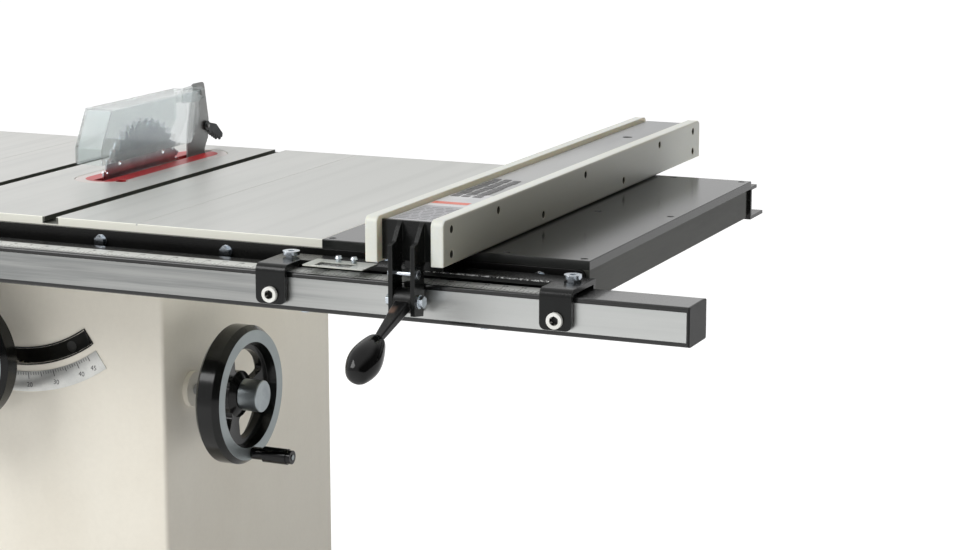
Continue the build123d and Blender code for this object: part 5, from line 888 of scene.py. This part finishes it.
# A rolled lip around the slot that the height shaft travels in.
SLOT_HALF_WIDTH = 0.0125
LIP_START, LIP_SPAN, LIP_STEPS = REST_ANGLE - 4.4, 53.8, 48
LIP_RADIUS, LIP_SIDES = 0.0012, 8
rim = []
for radius, start, turn in (
    (SHAFT_ARC + SLOT_HALF_WIDTH, LIP_START, 1), (SHAFT_ARC - SLOT_HALF_WIDTH, LIP_START + LIP_SPAN, -1),
):
    for i in range(LIP_STEPS + 1):
        angle = start + turn * LIP_SPAN * i / LIP_STEPS
        rim.append(on_arc(radius, angle, CABINET_FRONT_Y - 0.0006))
rows = []
for i, p in enumerate(rim):
    ahead = (rim[(i + 1) % len(rim)] - rim[i - 1]).normalized()
    out = Vector((0, 1, 0))
    side = ahead.cross(out).normalized()
    rows.append(round_section(p, side, out, LIP_RADIUS, LIP_SIDES))
points = [p for row in rows for p in row]
piece("height_slot_lip", points, ring_strip(rows), "stand", "black_paint", True)

# ---- motor fins, cover screws and cables

MOTOR_Y, MOTOR_Z = 0.060, 0.620
FIN_COUNT, FIN_ROOT = 28, 0.0768
FIN_PROFILE = (  # X and radius of each fin's outer edge, from its left end
    (-0.313, 0.0776), (-0.311, 0.083), (-0.306, 0.0842), (-0.176, 0.0842), (-0.17, 0.083), (-0.168, 0.0776),
)
groups = []
for k in range(FIN_COUNT):
    a = 2 * math.pi * (k + 0.5) / FIN_COUNT
    if math.radians(250) < a < math.radians(290):  # the motor's mount takes this stretch
        continue
    out = Vector((0, math.cos(a), math.sin(a)))
    side = Vector((0, -math.sin(a), math.cos(a)))
    centre = Vector((0, MOTOR_Y, MOTOR_Z))
    rows = []
    for x, r in FIN_PROFILE:
        base = centre + Vector((x, 0, 0))
        rows.append([
            base + out * FIN_ROOT - side * 0.0016, base + out * r - side * 0.0010,
            base + out * r + side * 0.0010, base + out * FIN_ROOT + side * 0.0016,
        ])
    groups.append(([p for row in rows for p in row], ring_strip(rows, closed=False)))
points, faces = join(*groups)
piece("motor_fins", points, faces, "arbor_arm", "motor_paint", True)

points, faces = turned(
    (-0.3450, MOTOR_Y, MOTOR_Z), (-1, 0, 0),
    (
        (-0.004, 0.0735), (0.0005, 0.0735), (0.0022, 0.0715), (0.0030, 0.060), (0.0030, 0.020),
        (0.0045, 0.016), (0.0045, 0.0001),
    ), 56,
)
piece("motor_fan_cover", points, faces, "arbor_arm", "motor_paint", True)

SWITCH_X, SWITCH_FACE_Y = -0.300, -0.432
SWITCH_SCREW = (
    (-0.002, 0.0032), (0.0006, 0.0032), (0.0012, 0.0026), (0.0013, 0.0012), (0.0005, 0.001), (0.0005, 0.0001),
)
groups = []
for x in (SWITCH_X - 0.036, SWITCH_X + 0.036):
    for z in (0.664, 0.764):
        groups.append(turned((x, SWITCH_FACE_Y, z), (0, -1, 0), SWITCH_SCREW, 20))
points, faces = join(*groups)
piece("switch_screws", points, faces, "stand", "zinc_steel", True)

points, faces = turned(
    (SWITCH_X, SWITCH_FACE_Y + 0.0005, 0.748), (0, -1, 0),
    (
        (-0.001, 0.0160), (0.0018, 0.0158), (0.0030, 0.0150), (0.0030, 0.0122), (0.0012, 0.0116),
        (-0.001, 0.0116),
    ), 48,
)
piece("start_button_ring", points, faces, "stand", "black_plastic", True)

cord = smooth_path((
    (-0.300, -0.385, 0.660), (-0.300, -0.384, 0.640), (-0.298, -0.372, 0.612), (-0.290, -0.345, 0.596),
    (-0.270, -0.315, 0.590), (-0.240, -0.296, 0.585), (-0.205, -0.288, 0.560), (-0.200, -0.2835, 0.500),
    (-0.200, -0.2800, 0.470), (-0.200, -0.2740, 0.462),
))
points, faces = tube_along(cord, 0.0042)
piece("switch_cord", points, faces, "stand", "cable_rubber", True)
points, faces = join(
    turned(
        (SWITCH_X, -0.385, 0.6552), (0, 0, -1),
        ((-0.0010, 0.0090), (0.0040, 0.0088), (0.0100, 0.0070), (0.0160, 0.0058), (0.0161, 0.0043)), 28,
    ),
    turned(
        (-0.200, -0.2782, 0.4640), (0, -0.94, 0.35),
        ((-0.0010, 0.0100), (0.0030, 0.0096), (0.0075, 0.0068), (0.0110, 0.0056), (0.0111, 0.0043)), 28,
    ),
)
piece("cord_grommets", points, faces, "stand", "cable_rubber", True)

power = smooth_path((
    (-0.150, 0.2400, 0.300), (-0.150, 0.2520, 0.298), (-0.152, 0.2700, 0.270), (-0.158, 0.2820, 0.200),
    (-0.166, 0.2880, 0.110), (-0.176, 0.3000, 0.035), (-0.190, 0.3240, 0.0085), (-0.230, 0.3520, 0.0060),
    (-0.300, 0.3560, 0.0060), (-0.350, 0.3300, 0.0060), (-0.350, 0.2880, 0.0060), (-0.310, 0.2700, 0.0060),
    (-0.262, 0.2820, 0.0060), (-0.240, 0.3200, 0.0065),
))
points, faces = tube_along(power, 0.0055)
piece("power_cord", points, faces, "stand", "cable_rubber", True)
points, faces = turned(
    (-0.150, 0.2405, 0.300), (0, 1, 0),
    ((-0.001, 0.0125), (0.004, 0.0122), (0.011, 0.0090), (0.018, 0.0072), (0.0181, 0.0058)), 28,
)
piece("power_cord_grommet", points, faces, "stand", "cable_rubber", True)

# Pressed rims above the door's air slots, and the dust collar's rolled bead.
groups = []
DOOR_FACE_X = -0.362
LOUVRE_COUNT, LOUVRE_LOWEST_Z, LOUVRE_PITCH = 6, 0.505, 0.030
LOUVRE_FRONT_Y, LOUVRE_LENGTH, LOUVRE_STEPS = -0.077, 0.195, 24
for louver in range(LOUVRE_COUNT):
    z = LOUVRE_LOWEST_Z + louver * LOUVRE_PITCH
    rows = []
    for i in range(LOUVRE_STEPS + 1):
        t = i / LOUVRE_STEPS
        y = LOUVRE_FRONT_Y + LOUVRE_LENGTH * t
        swell = math.sin(math.pi * t) ** 0.35 if 0 < t < 1 else 0.0
        depth = 0.0002 + 0.0068 * swell
        rows.append([
            Vector((DOOR_FACE_X + 0.0004, y, z + 0.0100)), Vector((DOOR_FACE_X - depth, y, z + 0.0022)),
            Vector((DOOR_FACE_X - depth + 0.0008, y, z + 0.0014)),
            Vector((DOOR_FACE_X + 0.0004, y, z + 0.0086)),
        ])
    groups.append(([p for row in rows for p in row], ring_strip(rows, closed=False)))
points, faces = join(*groups)
piece("door_louvers", points, faces, "motor_door", "cabinet_paint", True)

COLLAR_END = Vector((0.110, 0.2895, 0.160))
COLLAR_RADIUS, BEAD_RADIUS, BEAD_STEPS, BEAD_SIDES = 0.0500, 0.0022, 72, 10
rows = []
for k in range(BEAD_STEPS):
    a = 2 * math.pi * k / BEAD_STEPS
    out = Vector((math.cos(a), 0, math.sin(a)))
    middle = COLLAR_END + out * COLLAR_RADIUS
    rows.append(round_section(middle, out, Vector((0, 1, 0)), BEAD_RADIUS, BEAD_SIDES))
points = [p for row in rows for p in row]
piece("dust_collar_bead", points, ring_strip(rows), "stand", "cabinet_paint", True)

# ---- floor, light and camera

# The floor glows a little, and most to the camera, to keep it pale.
FLOOR_HALF = 60
FLOOR_GLOW, FLOOR_GLOW_TO_CAMERA = 0.2, 0.22
floor_mesh = bpy.data.meshes.new("floor")
floor_mesh.from_pydata(
    [(-FLOOR_HALF, -FLOOR_HALF, 0), (FLOOR_HALF, -FLOOR_HALF, 0), (FLOOR_HALF, FLOOR_HALF, 0),
     (-FLOOR_HALF, FLOOR_HALF, 0)],
    [], [(0, 1, 2, 3)],
)
floor = bpy.data.objects.new("floor", floor_mesh)
bpy.context.scene.collection.objects.link(floor)
floor_material = bpy.data.materials.new("pale_floor")
floor_material.use_nodes = True
tree = floor_material.node_tree
tree.nodes.clear()
spot = put(tree, "TexCoord").outputs["Object"]
cloud = stretched(tree, spot, (0.6, 0.6, 0.6), 3.0, 0.5)
tone = blend_colour(tree, cloud, (0.86, 0.86, 0.86, 1), (0.90, 0.90, 0.90, 1))
seen = put(tree, "LightPath").outputs["Is Camera Ray"]
lift = calc(tree, "MULTIPLY_ADD", seen, FLOOR_GLOW_TO_CAMERA, FLOOR_GLOW)
body = put(tree, "BsdfPrincipled", {
    "Base Color": tone, "Roughness": 0.9, "Specular IOR Level": 0.0,
    "Emission Color": (1.0, 1.0, 1.0, 1.0), "Emission Strength": lift,
})
end = put(tree, "OutputMaterial")
tree.links.new(body.outputs[0], end.inputs[0])
floor_mesh.materials.append(floor_material)

# The sky lights the saw unevenly by choice: it is dark low down on the right, a little dimmed at the front
# and left, and plain white to the camera.
SKY_STRENGTH, DARK_RIGHT, DIM_FRONT_AND_LEFT = 0.94, 0.88, 0.18
scene = bpy.context.scene
world = bpy.data.worlds.new("studio")
world.use_nodes = True
tree = world.node_tree
sky = put(tree, "SeparateXYZ", {0: put(tree, "TexCoord").outputs["Generated"]}).outputs
rightward = ramp(tree, sky[0], 0.05, 0.55)
lowdown = calc(tree, "SUBTRACT", 1.0, ramp(tree, sky[2], 0.55, 0.95))
shaded = calc(tree, "MULTIPLY", calc(tree, "MULTIPLY", rightward, lowdown), DARK_RIGHT)
facing_front = ramp(tree, sky[1], 0.15, -0.45)
facing_left = calc(tree, "MULTIPLY", ramp(tree, sky[0], -0.45, -0.85), ramp(tree, sky[1], 0.6, 0.3))
soft = calc(tree, "MULTIPLY", calc(tree, "MAXIMUM", facing_front, facing_left), lowdown)
dimmed = calc(tree, "SUBTRACT", 1.0, calc(tree, "MULTIPLY", soft, DIM_FRONT_AND_LEFT))
lit = calc(tree, "MULTIPLY", calc(tree, "SUBTRACT", 1.0, shaded), SKY_STRENGTH)
glow = calc(tree, "MULTIPLY", lit, dimmed)
seen = put(tree, "LightPath").outputs["Is Camera Ray"]
backdrop = tree.nodes["Background"]
backdrop.inputs[0].default_value = (1.0, 1.0, 1.0, 1)
tree.links.new(blend_value(tree, seen, glow, 1.0), backdrop.inputs[1])
scene.world = world


KEY_PLACE, KEY_TARGET = Vector((-1.8, -2.6, 3.2)), Vector((0.3, 0.0, 0.8))
KEY_SIZE, KEY_WATTS = (2.4, 1.8), 78
lamp = bpy.data.lights.new("key_light", "AREA")
lamp.shape = "RECTANGLE"
lamp.size, lamp.size_y = KEY_SIZE
lamp.energy = KEY_WATTS
key_light = bpy.data.objects.new("key_light", lamp)
key_light.location = KEY_PLACE
key_light.rotation_euler = (KEY_TARGET - KEY_PLACE).to_track_quat("-Z", "Y").to_euler()
scene.collection.objects.link(key_light)

CAMERA_PLACE, LENS_MM, SENSOR_MM = (2.03943, -3.24609, 1.47862), 91.11, 36.0
azimuth, elevation = math.radians(23.359), math.radians(11.510)
camera_data = bpy.data.cameras.new("camera")
camera_data.lens = LENS_MM
camera_data.sensor_width = SENSOR_MM
camera_data.clip_end = 200
camera = bpy.data.objects.new("camera", camera_data)
level = math.cos(elevation)
look = Vector((-math.sin(azimuth) * level, math.cos(azimuth) * level, -math.sin(elevation)))
camera.location = CAMERA_PLACE
camera.rotation_euler = look.to_track_quat("-Z", "Y").to_euler()
scene.collection.objects.link(camera)
scene.camera = camera
scene.view_settings.view_transform = "Standard"
